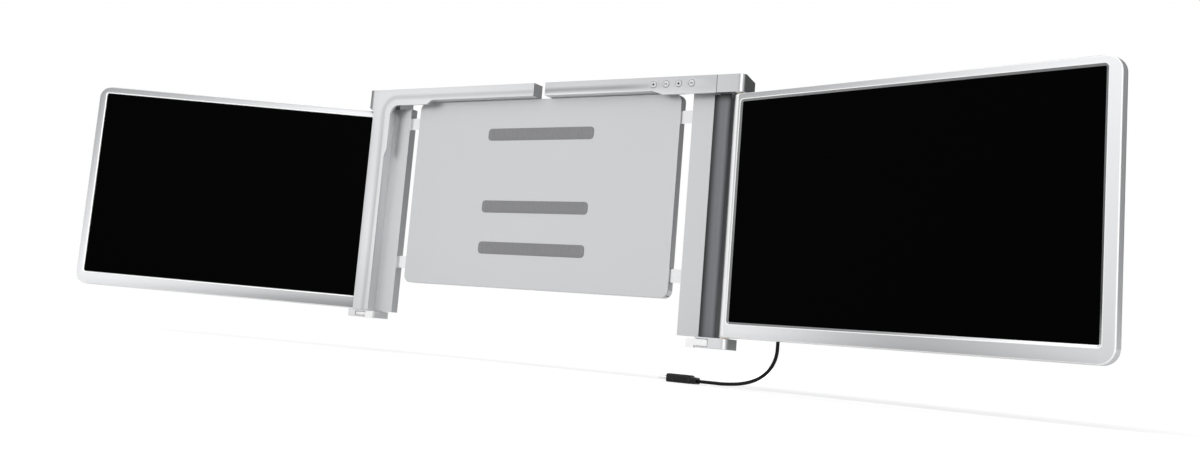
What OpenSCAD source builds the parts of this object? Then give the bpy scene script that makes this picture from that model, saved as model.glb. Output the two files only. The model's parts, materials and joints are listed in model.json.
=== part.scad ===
// Laptop screen extender: two hinged screens on a two-part frame that slides on a back panel.
// Origin: face of the middle lid pad. +X to the viewer's right, +Y to the back, +Z up. Millimetres.

/* [Screens] */
// Width of the visible display
screen_w = 252.8; // [236:0.1:266]
// Height of the visible display
screen_h = 158; // [148:0.1:166]
// Thickness of a screen housing
housing_t = 8; // [7.6:0.1:9]
// Depth of the front bezel shell
bezel_d = 5.5; // [5.3:0.1:6]
// Bezel width above the display
bezel_top = 6.3; // [6:0.1:8]
// Bezel width below the display
bezel_bottom = 11.1; // [10.5:0.1:14]
// Bezel width on the hinge side
bezel_hinge = 8.3; // [7.5:0.1:10]
// Bezel width on the left screen's free side
bezel_free_left = 7.1; // [6:0.1:10]
// Bezel width on the right screen's free side
bezel_free_right = 9.3; // [6:0.1:11]
// Corner radius on the free side
free_corner_r = 10; // [6:0.5:12]
// Corner radius on the hinge side
hinge_corner_r = 2; // [1:0.5:4]
// Rounding of the bezel's front edge along the hinge
edge_round = 5; // [2:0.5:5.2]
// Chamfer of the bezel's other front edges
edge_ease = 0.8; // [0.4:0.1:1.2]
// Chamfer of the housings' back edges
back_ease = 1.2; // [0.8:0.1:1.6]
// Wall of the screen housings
housing_wall = 1.6; // [1.4:0.1:2]
// Bevel round the glass, width
bevel_w = 2; // [1:0.1:2.5]
// Bevel round the glass, depth
bevel_d = 1; // [0.6:0.1:1.2]
// Thickness of the display panel behind the glass
display_t = 3.2; // [2.8:0.1:3.2]

/* [Screen hinges] */
// Right screen's turn toward the viewer
right_turn = 13.9; // [0:0.1:30]
// Left screen's turn toward the viewer
left_turn = 34; // [0:0.1:40]
// Right hinge axis, behind the lid pads
right_hinge_y = 2; // [1.5:0.1:3]
// Left hinge axis, behind the lid pads
left_hinge_y = 21; // [20.5:0.1:22.5]
// Right axis to the back of its screen
right_back_gap = 8.5; // [8:0.1:9.5]
// Left axis to the back of its screen
left_back_gap = 2.8; // [2.7:0.1:3.4]
// Right axis to the near edge of its screen
right_edge_gap = 6.1; // [5.6:0.1:7]
// Left axis to the near edge of its screen (negative: the edge passes the axis)
left_edge_gap = -0.4; // [-0.6:0.1:1]
// Outer radius of the hinge spines
spine_r = 4.5; // [4.2:0.1:4.8]
// Radius of the hinge pins
pin_r = 1.5; // [1.2:0.05:1.6]
// Wall of the hinge bushes
bush_wall = 1; // [0.8:0.05:1.1]
// Length of a hinge bush
bush_len = 8; // [6:0.5:12]

/* [Frame] */
// Top of the frame above the origin
top_z = 100; // [99:0.5:104]
// Height of the right bottom bracket
bracket_h = 7.7; // [6.5:0.1:9]
// Depth of the slot that takes the lid
lid_gap = 6.5; // [5.5:0.1:7.5]
// Thickness of the front flange
flange_t = 2.5; // [2.2:0.1:3]
// Depth of the arms, front to back
arm_d = 13; // [12:0.5:14]
// Height of the arms
arm_h = 10.6; // [10.4:0.1:11.6]
// Drop of the corner hooks below the arms
hook_drop = 3.6; // [2:0.1:5]
// Outer edge of the left rail, from the origin
rail_x = 169; // [168.5:0.1:170]
// Width of the left rail
rail_w = 16.7; // [16:0.1:17.5]
// Reach of the left corner hook past the rail
hook_reach = 2.3; // [1.5:0.1:3.5]
// Inner corner radius of the left frame
corner_r = 8; // [5:0.5:10]
// Wall of the frame shells
frame_wall = 1.6; // [1.4:0.1:2]
// Free end of the left arm, from the origin
left_arm_end = 3.3; // [2:0.1:10]
// Free end of the right arm, from the origin
right_arm_end = 7.3; // [6:0.1:14]
// Seam between right arm and corner cap
seam_x = 156.5; // [155:0.1:158]
// Right side of the frame, from the origin
right_side_x = 177.9; // [177.5:0.1:180]
// Rounding of the frame's right front edge
side_round = 5; // [3:0.5:6]
// Depth of the shallow groove in the front face
groove_depth = 0.5; // [0.3:0.05:0.8]
// Radius of the tool that cuts the groove
groove_r = 11; // [8:0.5:14]
// How far the ear stands out past the left rail
ear_out = 5.3; // [4:0.1:7]
// Gap between a screen's top and the block above it
pivot_gap = 0.6; // [0.5:0.05:1]

/* [Back panel] */
// Half width of the back panel
panel_x = 124; // [122:0.5:126]
// Top of the back panel
panel_top = 89; // [86:0.5:89]
// Bottom of the back panel
panel_bottom = -66; // [-70:0.5:-66]
// Depth of the back panel and the rear shells
panel_d = 8; // [7.8:0.1:8.2]
// Thickness of the panel's front plate
plate_t = 1.5; // [1.2:0.1:1.6]
// Thickness of the lid pads
pad_t = 0.8; // [0.6:0.1:1.2]
// Half width of the lid pads
pad_x = 50; // [30:1:80]
// Height of a lid pad
pad_h = 10; // [6:0.5:16]
// Height of the upper lid pad
upper_pad_z = 60; // [40:1:70]
// Height of the lower lid pad
lower_pad_z = -34; // [-45:1:-20]
// Height of the slide bars
bar_h = 10; // [8:0.5:12]
// Thickness of the slide bars
bar_t = 2.2; // [1.8:0.1:2.2]
// Sliding clearance round the bars
bar_clear = 0.15; // [0.1:0.05:0.2]
// Height of the upper slide bar
upper_bar_z = 71; // [66:0.5:72]
// Height of the lower slide bar
lower_bar_z = -49; // [-50:0.5:-47]
// Half width of the kickstand
stand_x = 58; // [50:1:64]
// Height of the kickstand's hinge
stand_hinge_z = 20; // [10:1:30]
// Thickness of the kickstand plate
stand_t = 1.6; // [1.4:0.1:1.8]

/* [Clips and buttons] */
// Travel of the hook clips
clip_travel = 4; // [2:0.5:4]
// Diameter of a button
button_d = 5.3; // [4.5:0.1:5.6]
// Distance between buttons
button_pitch = 10.5; // [9:0.1:11]
// First button, from the origin
button_x = 104.5; // [103:0.1:106]
// How far a button stands proud
button_proud = 0.6; // [0.4:0.1:0.8]
// Travel of a button
button_travel = 0.3; // [0.2:0.05:0.3]

/* [Lead] */
// Diameter of the lead
lead_d = 2.4; // [2:0.1:3.4]
// Length of the plug's grip
plug_len = 22.5; // [18:0.5:26]
// Width of the plug's grip
plug_w = 11; // [10:0.1:12]
// Thickness of the plug's grip
plug_t = 6.1; // [4:0.1:6.4]

/* [Hidden] */
$fn = 48;
eps = 0.01;

// fits
fit = 0.05;         // between pieces of one body
run_fit = 0.04;     // radial, pin in bush
glass_fit = 0.1;    // round the glass

// screens
left_w = bezel_hinge + screen_w + bezel_free_left;
right_w = bezel_hinge + screen_w + bezel_free_right;
housing_h = bezel_bottom + screen_h + bezel_top;
screen_top = top_z - arm_h - pivot_gap - 5.2;
screen_bottom = screen_top - housing_h;
front_wall = 2;                       // bezel's front wall, behind the bevel the glass sits in it
back_wall = 1.2;
roll_wall = housing_wall + 1;         // thicker behind the rolled edge
display_margin = 2;                   // display panel past the visible area
board_t = 0.8;
board_w = 80;
board_h = 32;
board_in = 30;                        // board's end to the free edge
board_z = 14;
chip_t = 0.6;
chip_w = 8;
chip_pitch = 18;

// frame
left_hinge_in = 7;                    // axis to the rail's outer edge
right_hinge_in = 6.9;                 // axis to the frame's right side
left_hinge_x = rail_x - left_hinge_in;
right_hinge_x = right_side_x - right_hinge_in;
front_y = -(lid_gap + flange_t);
flange_y = -lid_gap;
arm_back_y = front_y + arm_d;
seat_z = top_z - arm_h;
hook_z = seat_z - hook_drop;
panel_y = pad_t;
back_y = panel_y + panel_d;
rail_in_x = rail_x - rail_w;
rail_bottom = screen_bottom - pivot_gap - 0.1;
ear_bottom = screen_top + pivot_gap;
foot_h = 6;
hook_len = 36;                        // corner hook along the arm
hook_side = 36;                       // corner hook down the rail
jog = 5;                              // slanted end of a hook
arm_wall = 2;
rail_wall = 2;
shell_gap = 10;                       // back panel to the rear shells
shell_in_x = panel_x + shell_gap;
shell_screw_in = 9;
shell_screw_zs = [screen_bottom + 17, (upper_bar_z + lower_bar_z) / 2 - 6, upper_bar_z + bar_h / 2 + 4];
cap_d = 20.4;
cap_slope = 3;                        // fall of the cap's top toward the back
bracket_d = 17.6;
bracket_top = screen_bottom - pivot_gap + 0.1;
bottom_z = bracket_top - bracket_h;
spine_in = 13;                        // right axis to the middle of the dark spine cover
spine_face_x = right_hinge_x - spine_in;
spine_half = 6.6;
spine_bow_r = 9.8;
spine_front_y = -2.5;
groove_z = top_z - 6.7;
groove_x = rail_in_x + 5.7;
groove_turn_r = 14;
right_hook_x = button_x + 8.1;
right_jog = 8.4;

// back panel
bar_y = panel_y + plate_t + 0.6;
bar_in_x = 30;
guide_len = 11;
cover_wall = 1.5;
stand_bottom = panel_bottom + 4;
stand_knuckle_r = 1.9;
stand_pin_r = 1;
stand_y = back_y - stand_t - 0.1;     // front face of the kickstand plate
stand_axis_y = back_y - stand_knuckle_r - 0.1;

// buttons
button_z = top_z - 5.7;
button_flange_t = 0.5;
button_flange_r = button_d / 2 + 0.6;
switch_gap = button_travel + 0.05;
board_y = flange_y + fit + button_flange_t + switch_gap + 1;

// lead: route by hand, from the gland down to the floor and along it to the plug
floor_z = -126.15;
lead_z = -123.9;
lead_route = [
  [217.4, -14, -84], [217.4, -14, -88], [217.4, -14, -92], [217.4, -14, -96], [217.2, -14, -99.5],
  [216.5, -14, -103], [215.2, -14, -106.6], [213, -14, -110.5], [210.2, -14, -113.8],
  [206.6, -14, -116.8], [202.2, -14, -119.3], [197, -14, -121.3], [191, -14, -122.7],
  [184.5, -14, -123.5], [178, -14, lead_z], [172, -14, lead_z], [166, -14, lead_z], [160, -14, lead_z]
];

// ---------- helpers ----------
// 2D shape in x and z, given depth d from y
module upright(y, d) {
  translate([0, y + d, 0]) rotate([90, 0, 0]) linear_extrude(d) children();
}
module box(x0, x1, y0, y1, z0, z1) {
  translate([x0, y0, z0]) cube([x1 - x0, y1 - y0, z1 - z0]);
}
module rod(x, y, z0, z1, r) {
  translate([x, y, z0]) cylinder(h = z1 - z0, r = r);
}
// rod along +y
module peg(x, z, y0, y1, r) {
  translate([x, y0, z]) rotate([-90, 0, 0]) cylinder(h = y1 - y0, r = r);
}
// w by h with two corner radii: a on the x = 0 side, b on the x = w side
module rounded(w, h, a, b) {
  translate([a, 0]) square([w - a - b, h]);
  translate([0, a]) square([a, h - 2 * a]);
  translate([w - b, b]) square([b, h - 2 * b]);
  for (z = [a, h - a]) translate([a, z]) circle(a);
  for (z = [b, h - b]) translate([w - b, z]) circle(b);
}

// ---------- screens ----------
// children in screen axes: x from the hinge axis outward, y to the back, z up
module at_right() {
  translate([right_hinge_x, right_hinge_y, 0]) rotate([0, 0, -right_turn]) children();
}
module at_left() {
  translate([-left_hinge_x, left_hinge_y, 0]) rotate([0, 0, left_turn]) mirror([1, 0, 0]) children();
}
// children in housing axes: x = 0 at the hinge-side edge, y = 0 at the front, z = 0 at the bottom
module housing(edge_gap, back_gap) {
  translate([edge_gap, -back_gap - housing_t, screen_bottom]) children();
}
module left_housing() {
  at_left() housing(left_edge_gap, left_back_gap) children();
}
module right_housing() {
  at_right() housing(right_edge_gap, right_back_gap) children();
}
// the housing's outer form: rounded outline, rolled front edge at the hinge, eased back edges
module housing_form(w) {
  intersection() {
    upright(0, housing_t) rounded(w, housing_h, hinge_corner_r, free_corner_r);
    linear_extrude(housing_h) {
      translate([edge_round, edge_round]) circle(edge_round);
      polygon([[edge_round, 0], [w - edge_ease, 0], [w, edge_ease], [w, edge_round],
               [edge_round, edge_round]]);
      polygon([[0, edge_round], [w, edge_round], [w, housing_t - back_ease], [w - back_ease, housing_t],
               [back_ease, housing_t], [0, housing_t - back_ease]]);
    }
    rotate([90, 0, 90]) linear_extrude(w)
      polygon([[edge_ease, 0], [housing_t - back_ease, 0], [housing_t, back_ease],
               [housing_t, housing_h - back_ease], [housing_t - back_ease, housing_h],
               [edge_ease, housing_h], [0, housing_h - edge_ease], [0, edge_ease]]);
  }
}
screw_z = 5;
function screw_xs(w) = [18, w / 3 + 4, 2 * w / 3 - 4, w - 18];
module bezel(w) {
  difference() {
    intersection() {
      housing_form(w);
      box(-1, w + 1, -1, bezel_d, -1, housing_h + 1);
    }
    // hollow behind the front wall
    translate([roll_wall, front_wall, housing_wall]) upright(0, bezel_d)
      rounded(w - roll_wall - housing_wall, housing_h - 2 * housing_wall, 1, free_corner_r - housing_wall);
    // window for the glass and its bevel
    translate([bezel_hinge - glass_fit, -1, bezel_bottom - glass_fit])
      cube([screen_w + 2 * glass_fit, housing_t, screen_h + 2 * glass_fit]);
    hull() {
      translate([bezel_hinge, bevel_d, bezel_bottom]) upright(0, eps) rounded(screen_w, screen_h, 1, 1);
      translate([bezel_hinge - bevel_w, 0, bezel_bottom - bevel_w]) upright(-eps, eps)
        rounded(screen_w + 2 * bevel_w, screen_h + 2 * bevel_w, 3, 3);
    }
  }
  // screw posts below the display
  for (x = screw_xs(w)) difference() {
    peg(x, screw_z, front_wall - eps, bezel_d - fit, 2);
    peg(x, screw_z, front_wall, housing_t, 0.8);
  }
}
module back_cover(w) {
  difference() {
    intersection() {
      housing_form(w);
      box(-1, w + 1, bezel_d, housing_t + 1, -1, housing_h + 1);
    }
    translate([roll_wall, bezel_d - 1, housing_wall]) upright(0, housing_t - back_wall - bezel_d + 1)
      rounded(w - roll_wall - housing_wall, housing_h - 2 * housing_wall, 1, free_corner_r - housing_wall);
    for (x = screw_xs(w)) {
      peg(x, screw_z, bezel_d - 1, housing_t + 1, 1);
      peg(x, screw_z, housing_t - 0.9, housing_t + 1, 1.9);
    }
  }
}
module display() {
  translate([bezel_hinge - display_margin, front_wall, bezel_bottom - display_margin])
    cube([screen_w + 2 * display_margin, display_t, screen_h + 2 * display_margin]);
}
module glass() {
  translate([bezel_hinge, bevel_d, bezel_bottom]) upright(0, front_wall - bevel_d)
    rounded(screen_w, screen_h, 1, 1);
}
module board(w) {
  y = front_wall + display_t;
  x = w - board_in - board_w;
  box(x, x + board_w, y, y + board_t, board_z, board_z + board_h);
  for (i = [0:3]) translate([x + chip_w + i * chip_pitch, y + board_t, board_z + chip_w])
    cube([chip_w, chip_t, chip_w]);
  translate([x + board_w / 2 - 1.5 * chip_w, y + board_t, board_z + board_h - 10])
    cube([3 * chip_w, chip_t, chip_w * 0.75]);
}
module screen_screws(w) {
  for (x = screw_xs(w)) {
    peg(x, screw_z, front_wall + 0.4, housing_t - 0.8, 0.75);
    difference() {
      peg(x, screw_z, housing_t - 0.85, housing_t - 0.1, 1.8);
      translate([x, housing_t - 0.6, screw_z]) for (a = [0, 90]) rotate([0, a, 0])
        cube([2, 2, 0.45], center = true);
    }
  }
}
left_spine_z = [rail_bottom + 0.2, ear_bottom - 0.2];
right_spine_z = [bracket_top + 0.2, hook_z + 0.4];
bush_r = pin_r + run_fit + bush_wall;
flange_h = 0.5;
leaf_t = 1.2;
leaf_w = 18;
module spine_body(z, back_gap, edge_gap) {
  knee = max(edge_gap - 0.1, spine_r + 1);
  difference() {
    union() {
      intersection() {
        rod(0, 0, z[0] + flange_h, z[1] - flange_h, spine_r);
        box(-spine_r, spine_r, -back_gap, spine_r, z[0], z[1]);
      }
      // web and leaf against the back cover
      translate([0, 0, screen_bottom + 8]) linear_extrude(housing_h - 16) difference() {
        polygon([[edge_gap + 1.5, -back_gap], [edge_gap + leaf_w, -back_gap],
                 [edge_gap + leaf_w, leaf_t - back_gap], [knee, leaf_t - back_gap],
                 [spine_r * 0.95, -1.3], [0, 0], [-0.2, -min(back_gap, spine_r * 0.8)]]);
        circle(bush_r + 0.5);
      }
    }
    rod(0, 0, z[0], z[1], bush_r + 0.02);
  }
}
module bushes(z) {
  for (end = [0, 1]) {
    s = end == 0 ? 1 : -1;
    translate([0, 0, z[end]]) difference() {
      union() {
        rod(0, 0, s > 0 ? flange_h - eps : -bush_len, s > 0 ? bush_len : -flange_h + eps, bush_r);
        rod(0, 0, s > 0 ? 0.1 : -flange_h, s > 0 ? flange_h : -0.1, bush_r + 0.6);
      }
      rod(0, 0, -bush_len - 1, bush_len + 1, pin_r + run_fit);
    }
  }
}

// ---------- back panel ----------
module slide_slots(x0, x1, clear) {
  for (z = [lower_bar_z, upper_bar_z])
    box(x0, x1, bar_y - clear, bar_y + bar_t + clear, z - bar_h / 2 - clear, z + bar_h / 2 + clear);
}
panel_screw_zs = [panel_top - 8, panel_bottom + 6, 30, -20];
panel_screws_at = [for (x = [-1, 1]) for (z = panel_screw_zs) [x * (panel_x - 6), z]];
module panel_front_plate() {
  color("silver") upright(panel_y, plate_t)
    translate([-panel_x, panel_bottom]) rounded(2 * panel_x, panel_top - panel_bottom, 6, 6);
}
module panel_rear_cover() {
  y0 = panel_y + plate_t;
  color("silver") difference() {
    union() {
      difference() {
        upright(y0, back_y - y0)
          translate([-panel_x, panel_bottom]) rounded(2 * panel_x, panel_top - panel_bottom, 6, 6);
        difference() {
          box(-panel_x + cover_wall, panel_x - cover_wall, y0 - 1, back_y - cover_wall,
              panel_bottom + cover_wall, panel_top - cover_wall);
          // floor and sides of the kickstand's recess
          box(-stand_x - 4, stand_x + 4, stand_y - cover_wall, back_y, stand_bottom - 3, stand_hinge_z + 6);
          box(-stand_x - 4, stand_x + 4, stand_axis_y - stand_knuckle_r - cover_wall, back_y,
              stand_hinge_z - stand_knuckle_r - 3.5, stand_hinge_z + 6);
        }
      }
      for (p = panel_screws_at) peg(p[0], p[1], y0 + fit, back_y - 1, 3);
    }
    // recess for the kickstand
    box(-stand_x - 0.3, stand_x + 0.3, stand_y - 0.2, back_y + 1, stand_bottom - 1.8, stand_hinge_z);
    box(-stand_x - 0.3, stand_x + 0.3, stand_axis_y - stand_knuckle_r - 0.3, back_y + 1,
        stand_hinge_z - stand_knuckle_r - 2, stand_hinge_z + stand_knuckle_r + 0.3);
    translate([-stand_x - 3, stand_axis_y, stand_hinge_z]) rotate([0, 90, 0])
      cylinder(h = 2 * stand_x + 6, r = stand_pin_r);
    // finger notch at the kickstand's lower edge
    peg(0, stand_bottom - 1.8, stand_y - 0.2, back_y + 1, 3.4);
    // ways for the slide bars
    slide_slots(-panel_x - 1, -panel_x + cover_wall + 1, 0.4);
    slide_slots(panel_x - cover_wall - 1, panel_x + 1, 0.4);
    for (p = panel_screws_at) {
      peg(p[0], p[1], y0, back_y, 1.1);
      peg(p[0], p[1], back_y - 0.9, back_y + 1, 2.1);
    }
  }
}
module lid_pads() {
  color("dimgray") for (z = [lower_pad_z, 0, upper_pad_z]) upright(0, pad_t)
    translate([-pad_x, z - pad_h / 2]) rounded(2 * pad_x, pad_h, pad_h * 0.3, pad_h * 0.3);
}
module slide_guides() {
  y0 = panel_y + plate_t + fit;
  y1 = back_y - cover_wall - fit;
  color("white") difference() {
    for (s = [-1, 1]) for (z = [lower_bar_z, upper_bar_z])
      translate([s * (panel_x - cover_wall - fit - guide_len / 2), 0, z])
        box(-guide_len / 2, guide_len / 2, y0, y1, -bar_h / 2 - 1.8, bar_h / 2 + 1.8);
    slide_slots(-panel_x, panel_x, bar_clear);
  }
}
module panel_screws() {
  color("gray") for (p = panel_screws_at) {
    peg(p[0], p[1], panel_y + plate_t + 0.5, back_y - 0.85, 1);
    difference() {
      peg(p[0], p[1], back_y - 0.9, back_y - 0.1, 2);
      translate([p[0], back_y - 0.4, p[1]]) for (a = [0, 90]) rotate([0, a, 0])
        cube([2.4, 1, 0.5], center = true);
    }
  }
}
module stand_pin() {
  color("gray") translate([-stand_x - 2.8, stand_axis_y, stand_hinge_z]) rotate([0, 90, 0])
    cylinder(h = 2 * stand_x + 5.6, r = stand_pin_r - 0.01);
}
module kickstand() {
  color("darkgray") difference() {
    union() {
      upright(stand_y, stand_t) translate([-stand_x, stand_bottom])
        rounded(2 * stand_x, stand_hinge_z - stand_knuckle_r - stand_bottom, 3, 3);
      translate([-stand_x, stand_axis_y, stand_hinge_z]) rotate([0, 90, 0])
        cylinder(h = 2 * stand_x, r = stand_knuckle_r);
      box(-stand_x, stand_x, stand_y, stand_y + stand_t, stand_hinge_z - stand_knuckle_r - 4, stand_hinge_z);
    }
    translate([-stand_x - 1, stand_axis_y, stand_hinge_z]) rotate([0, 90, 0])
      cylinder(h = 2 * stand_x + 2, r = stand_pin_r + run_fit);
  }
}
module kickstand_foot() {
  color("black") upright(stand_y, stand_t) translate([-stand_x + 4, stand_bottom - 1.5])
    square([2 * stand_x - 8, 1.5]);
}

// ---------- left half ----------
left_end = -left_arm_end;
module left_outline() {
  x = -rail_in_x + hook_reach;        // hook's inner edge down the rail
  translate([-rail_x, seat_z]) square([rail_x + left_end, arm_h]);
  translate([-rail_x, rail_bottom]) square([rail_w, seat_z - rail_bottom + 1]);
  // corner hook, with slanted ends
  polygon([[-rail_in_x, seat_z + 1], [x + corner_r + hook_len, seat_z + 1], [x + corner_r + hook_len, seat_z],
           [x + corner_r + hook_len - jog, hook_z], [x, hook_z],
           [x, hook_z - corner_r - hook_side + jog], [-rail_in_x, hook_z - corner_r - hook_side]]);
  difference() {
    translate([x, hook_z - corner_r]) square([corner_r, corner_r]);
    translate([x + corner_r, hook_z - corner_r]) circle(corner_r);
  }
}
module left_groove() {
  y = front_y - groove_r + groove_depth;
  cx = -groove_x + groove_turn_r;
  cz = groove_z - groove_turn_r;
  translate([cx, y, groove_z]) rotate([0, 90, 0]) cylinder(h = -cx, r = groove_r);
  translate([-groove_x, y, rail_bottom - 1]) cylinder(h = cz - rail_bottom + 1, r = groove_r);
  translate([cx, y, cz]) rotate([-90, 0, 0]) rotate([0, 0, 180]) rotate_extrude(angle = 90)
    translate([groove_turn_r, 0]) intersection() {
      circle(groove_r);
      translate([-groove_turn_r + 0.5, -groove_r]) square([4 * groove_r, 2 * groove_r]);
    }
}
module left_front_frame() {
  color("gainsboro") difference() {
    union() {
      upright(front_y, flange_t) left_outline();
      // arm: top, underside and free end
      box(-rail_x, left_end, flange_y - eps, arm_back_y, top_z - arm_wall, top_z);
      box(-rail_in_x - rail_wall, left_end, flange_y - eps, arm_back_y, seat_z, seat_z + frame_wall);
      box(left_end - arm_wall, left_end, flange_y - eps, arm_back_y, seat_z, top_z);
      // rail: outer and inner side walls
      box(-rail_x, -rail_x + rail_wall, flange_y - eps, flange_y + 3.5, rail_bottom, top_z);
      box(-rail_in_x - rail_wall, -rail_in_x, flange_y - eps, panel_y, rail_bottom, seat_z + 1);
      box(-rail_x, -rail_in_x, flange_y - eps, flange_y + 3.5, rail_bottom, rail_bottom + rail_wall);
    }
    left_groove();
  }
}
rail_back_y = flange_y + 3.5;         // the rail's outer wall stops here, the rear shell takes over
shell_top = ear_bottom - fit;
module left_rear_shell() {
  w = frame_wall;
  xi = -rail_in_x - rail_wall - fit;
  color("silver") {
    difference() {
      translate([0, 0, rail_bottom + fit]) linear_extrude(shell_top - rail_bottom - fit)
        polygon([[-rail_x, rail_back_y + fit], [-rail_x + 5, panel_y + 0.2], [-rail_x + 11.5, back_y],
                 [-shell_in_x, back_y], [-shell_in_x, panel_y + fit], [xi, panel_y + fit],
                 [xi, panel_y - 1.6], [-rail_x + 6, panel_y - 1.6],
                 [-rail_x + rail_wall, rail_back_y + fit]]);
      // hollow
      translate([0, 0, rail_bottom + w]) linear_extrude(shell_top - rail_bottom - 2 * w)
        polygon([[-rail_x + 8, panel_y + w], [-rail_x + 12.2, back_y - w], [-shell_in_x - w, back_y - w],
                 [-shell_in_x - w, panel_y + w]]);
      slide_slots(-shell_in_x - 3, -shell_in_x + 1, fit);
      for (z = shell_screw_zs) {
        peg(-shell_in_x - shell_screw_in, z, panel_y + w - 1, back_y + 1, 1.1);
        peg(-shell_in_x - shell_screw_in, z, back_y - 0.9, back_y + 1, 2.1);
      }
    }
    // rear wall of the arm
    box(-rail_x + 19, left_end - arm_wall - fit, arm_back_y - w, arm_back_y,
        seat_z + w + fit, top_z - arm_wall - fit);
  }
}
block_back_y = left_hinge_y + spine_r + 1;
block_w = 19;                         // of the part behind the arm
block_round = 6;
ear_round = 2;
module block_plan() {
  y = arm_back_y + fit;
  translate([-rail_x - ear_out + ear_round, front_y])
    square([ear_out - ear_round - fit, block_back_y - front_y]);
  translate([-rail_x - ear_out, front_y + ear_round]) square([3, block_back_y - front_y - ear_round]);
  translate([-rail_x - ear_out + ear_round, front_y + ear_round]) circle(ear_round);
  translate([-rail_x - 1, y]) square([block_w + 1, block_back_y - y - block_round]);
  translate([-rail_x - 1, y]) square([block_w - block_round + 1, block_back_y - y]);
  translate([-rail_x + block_w - block_round, block_back_y - block_round]) circle(block_round);
}
module left_hinge_block() {
  color("gainsboro") difference() {
    union() {
      translate([0, 0, ear_bottom]) linear_extrude(top_z - ear_bottom) block_plan();
      // small curved lip under the ear's front
      difference() {
        box(-rail_x - ear_out, -rail_x - fit, front_y, front_y + 3, ear_bottom - 1.4, ear_bottom + 1);
        translate([-rail_x - ear_out - 0.5, front_y - 1, ear_bottom - 2.2]) rotate([-90, 0, 0])
          cylinder(h = 5, r = 3.2);
      }
    }
    rod(-left_hinge_x, left_hinge_y, ear_bottom - 1, top_z - 3, pin_r + 0.01);
  }
}
foot_z0 = rail_bottom - foot_h;
clip_z = rail_bottom - 3.2;
foot_in_x = rail_in_x + 2.4;
clip_gap = 0.3;
left_tongue = 9.5 + clip_travel;
tongue_grip = 6.3;                    // what stays in the channel when a clip is pulled out
module left_foot_block() {
  color("gainsboro") difference() {
    translate([-rail_x - ear_out, front_y, foot_z0]) linear_extrude(foot_h - fit) {
      w = rail_x + ear_out - foot_in_x;
      d = block_back_y - front_y;
      translate([ear_round, 0]) square([w - ear_round, d - block_round]);
      translate([0, ear_round]) square([w - block_round, d - ear_round]);
      translate([ear_round, ear_round]) circle(ear_round);
      translate([w - block_round, d - block_round]) circle(block_round);
    }
    rod(-left_hinge_x, left_hinge_y, foot_z0 + 1, rail_bottom + 1, pin_r + 0.01);
    // channel and window of the hook clip
    box(-foot_in_x - left_tongue - 0.5, -foot_in_x + 1, front_y + 1.2, front_y + 4.6,
        clip_z - 1.7, clip_z + 1.7);
    box(-foot_in_x - 11, -foot_in_x + 1, front_y - 1, front_y + 1.3, clip_z - 1.7, clip_z + 1.7);
  }
}
module left_clip() {
  color("white") {
    difference() {
      box(-foot_in_x + clip_gap, -rail_in_x + 6.1, front_y, flange_y + 1.5, clip_z - 3.4, clip_z + 2.8);
      box(-rail_in_x - 0.1, -rail_in_x + 7, flange_y, flange_y + 2, clip_z - 4, clip_z + 4);
    }
    box(-foot_in_x - left_tongue, -foot_in_x + clip_gap + eps, front_y + 1.4, front_y + 4.4,
        clip_z - 1.5, clip_z + 1.5);
    box(-foot_in_x - 10.2, -foot_in_x - 1, front_y + 0.8, front_y + 1.5, clip_z - 0.7, clip_z + 1.4);
  }
}
module slide_bars(s) {
  color("gray") for (z = [lower_bar_z, upper_bar_z])
    box(s > 0 ? bar_in_x : -shell_in_x - 20, s > 0 ? shell_in_x + 14 : -bar_in_x, bar_y, bar_y + bar_t,
        z - bar_h / 2, z + bar_h / 2);
}
module left_slide_bars() { slide_bars(-1); }
module left_hinge_pins() {
  color("gray") {
    rod(-left_hinge_x, left_hinge_y, left_spine_z[1] - bush_len + 0.4, top_z - 3.1, pin_r);
    rod(-left_hinge_x, left_hinge_y, foot_z0 + 1.1, left_spine_z[0] + bush_len - 0.4, pin_r);
  }
}
module frame_screws(x) {
  color("gray") for (z = shell_screw_zs) {
    peg(x, z, panel_y + frame_wall, back_y - 0.85, 1);
    difference() {
      peg(x, z, back_y - 0.9, back_y - 0.1, 2);
      translate([x, back_y - 0.4, z]) for (a = [0, 90]) rotate([0, a, 0]) cube([2.4, 1, 0.5], center = true);
    }
  }
}
module left_frame_screws() { frame_screws(-shell_in_x - shell_screw_in); }

// ---------- right half ----------
module right_outline() {
  translate([right_arm_end, seat_z]) square([seam_x - right_arm_end - fit, arm_h]);
  polygon([[right_hook_x - right_jog, seat_z + 1], [right_hook_x - right_jog, seat_z],
           [right_hook_x, hook_z + 0.6], [seam_x - fit, hook_z + 0.6], [seam_x - fit, seat_z + 1]]);
}
function button_at(i) = button_x + i * button_pitch;
module right_arm_front() {
  color("gainsboro") difference() {
    union() {
      upright(front_y, flange_t) right_outline();
      box(right_arm_end, seam_x - fit, flange_y - eps, arm_back_y, top_z - arm_wall, top_z);
      box(right_arm_end, seam_x - fit, flange_y - eps, arm_back_y, seat_z, seat_z + frame_wall);
      box(right_arm_end, right_arm_end + arm_wall, flange_y - eps, arm_back_y, seat_z, top_z);
      // studs that carry the button board
      for (x = [button_x - 7, button_at(3) + 7]) peg(x, button_z, flange_y - eps, board_y, 1.6);
    }
    // groove, running out before the buttons
    translate([0, front_y - groove_r + groove_depth, groove_z]) rotate([0, 90, 0])
      cylinder(h = button_x - 14, r = groove_r);
    translate([button_x - 14, front_y - groove_r + groove_depth, groove_z]) sphere(groove_r);
    for (i = [0:3]) peg(button_at(i), button_z, front_y - 1, flange_y + 1, button_d / 2 + 0.08);
  }
}
module right_arm_rear() {
  color("silver") box(right_arm_end + arm_wall + fit, seam_x - fit, arm_back_y - frame_wall, arm_back_y,
                      seat_z + frame_wall + fit, top_z - arm_wall - fit);
}
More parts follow.
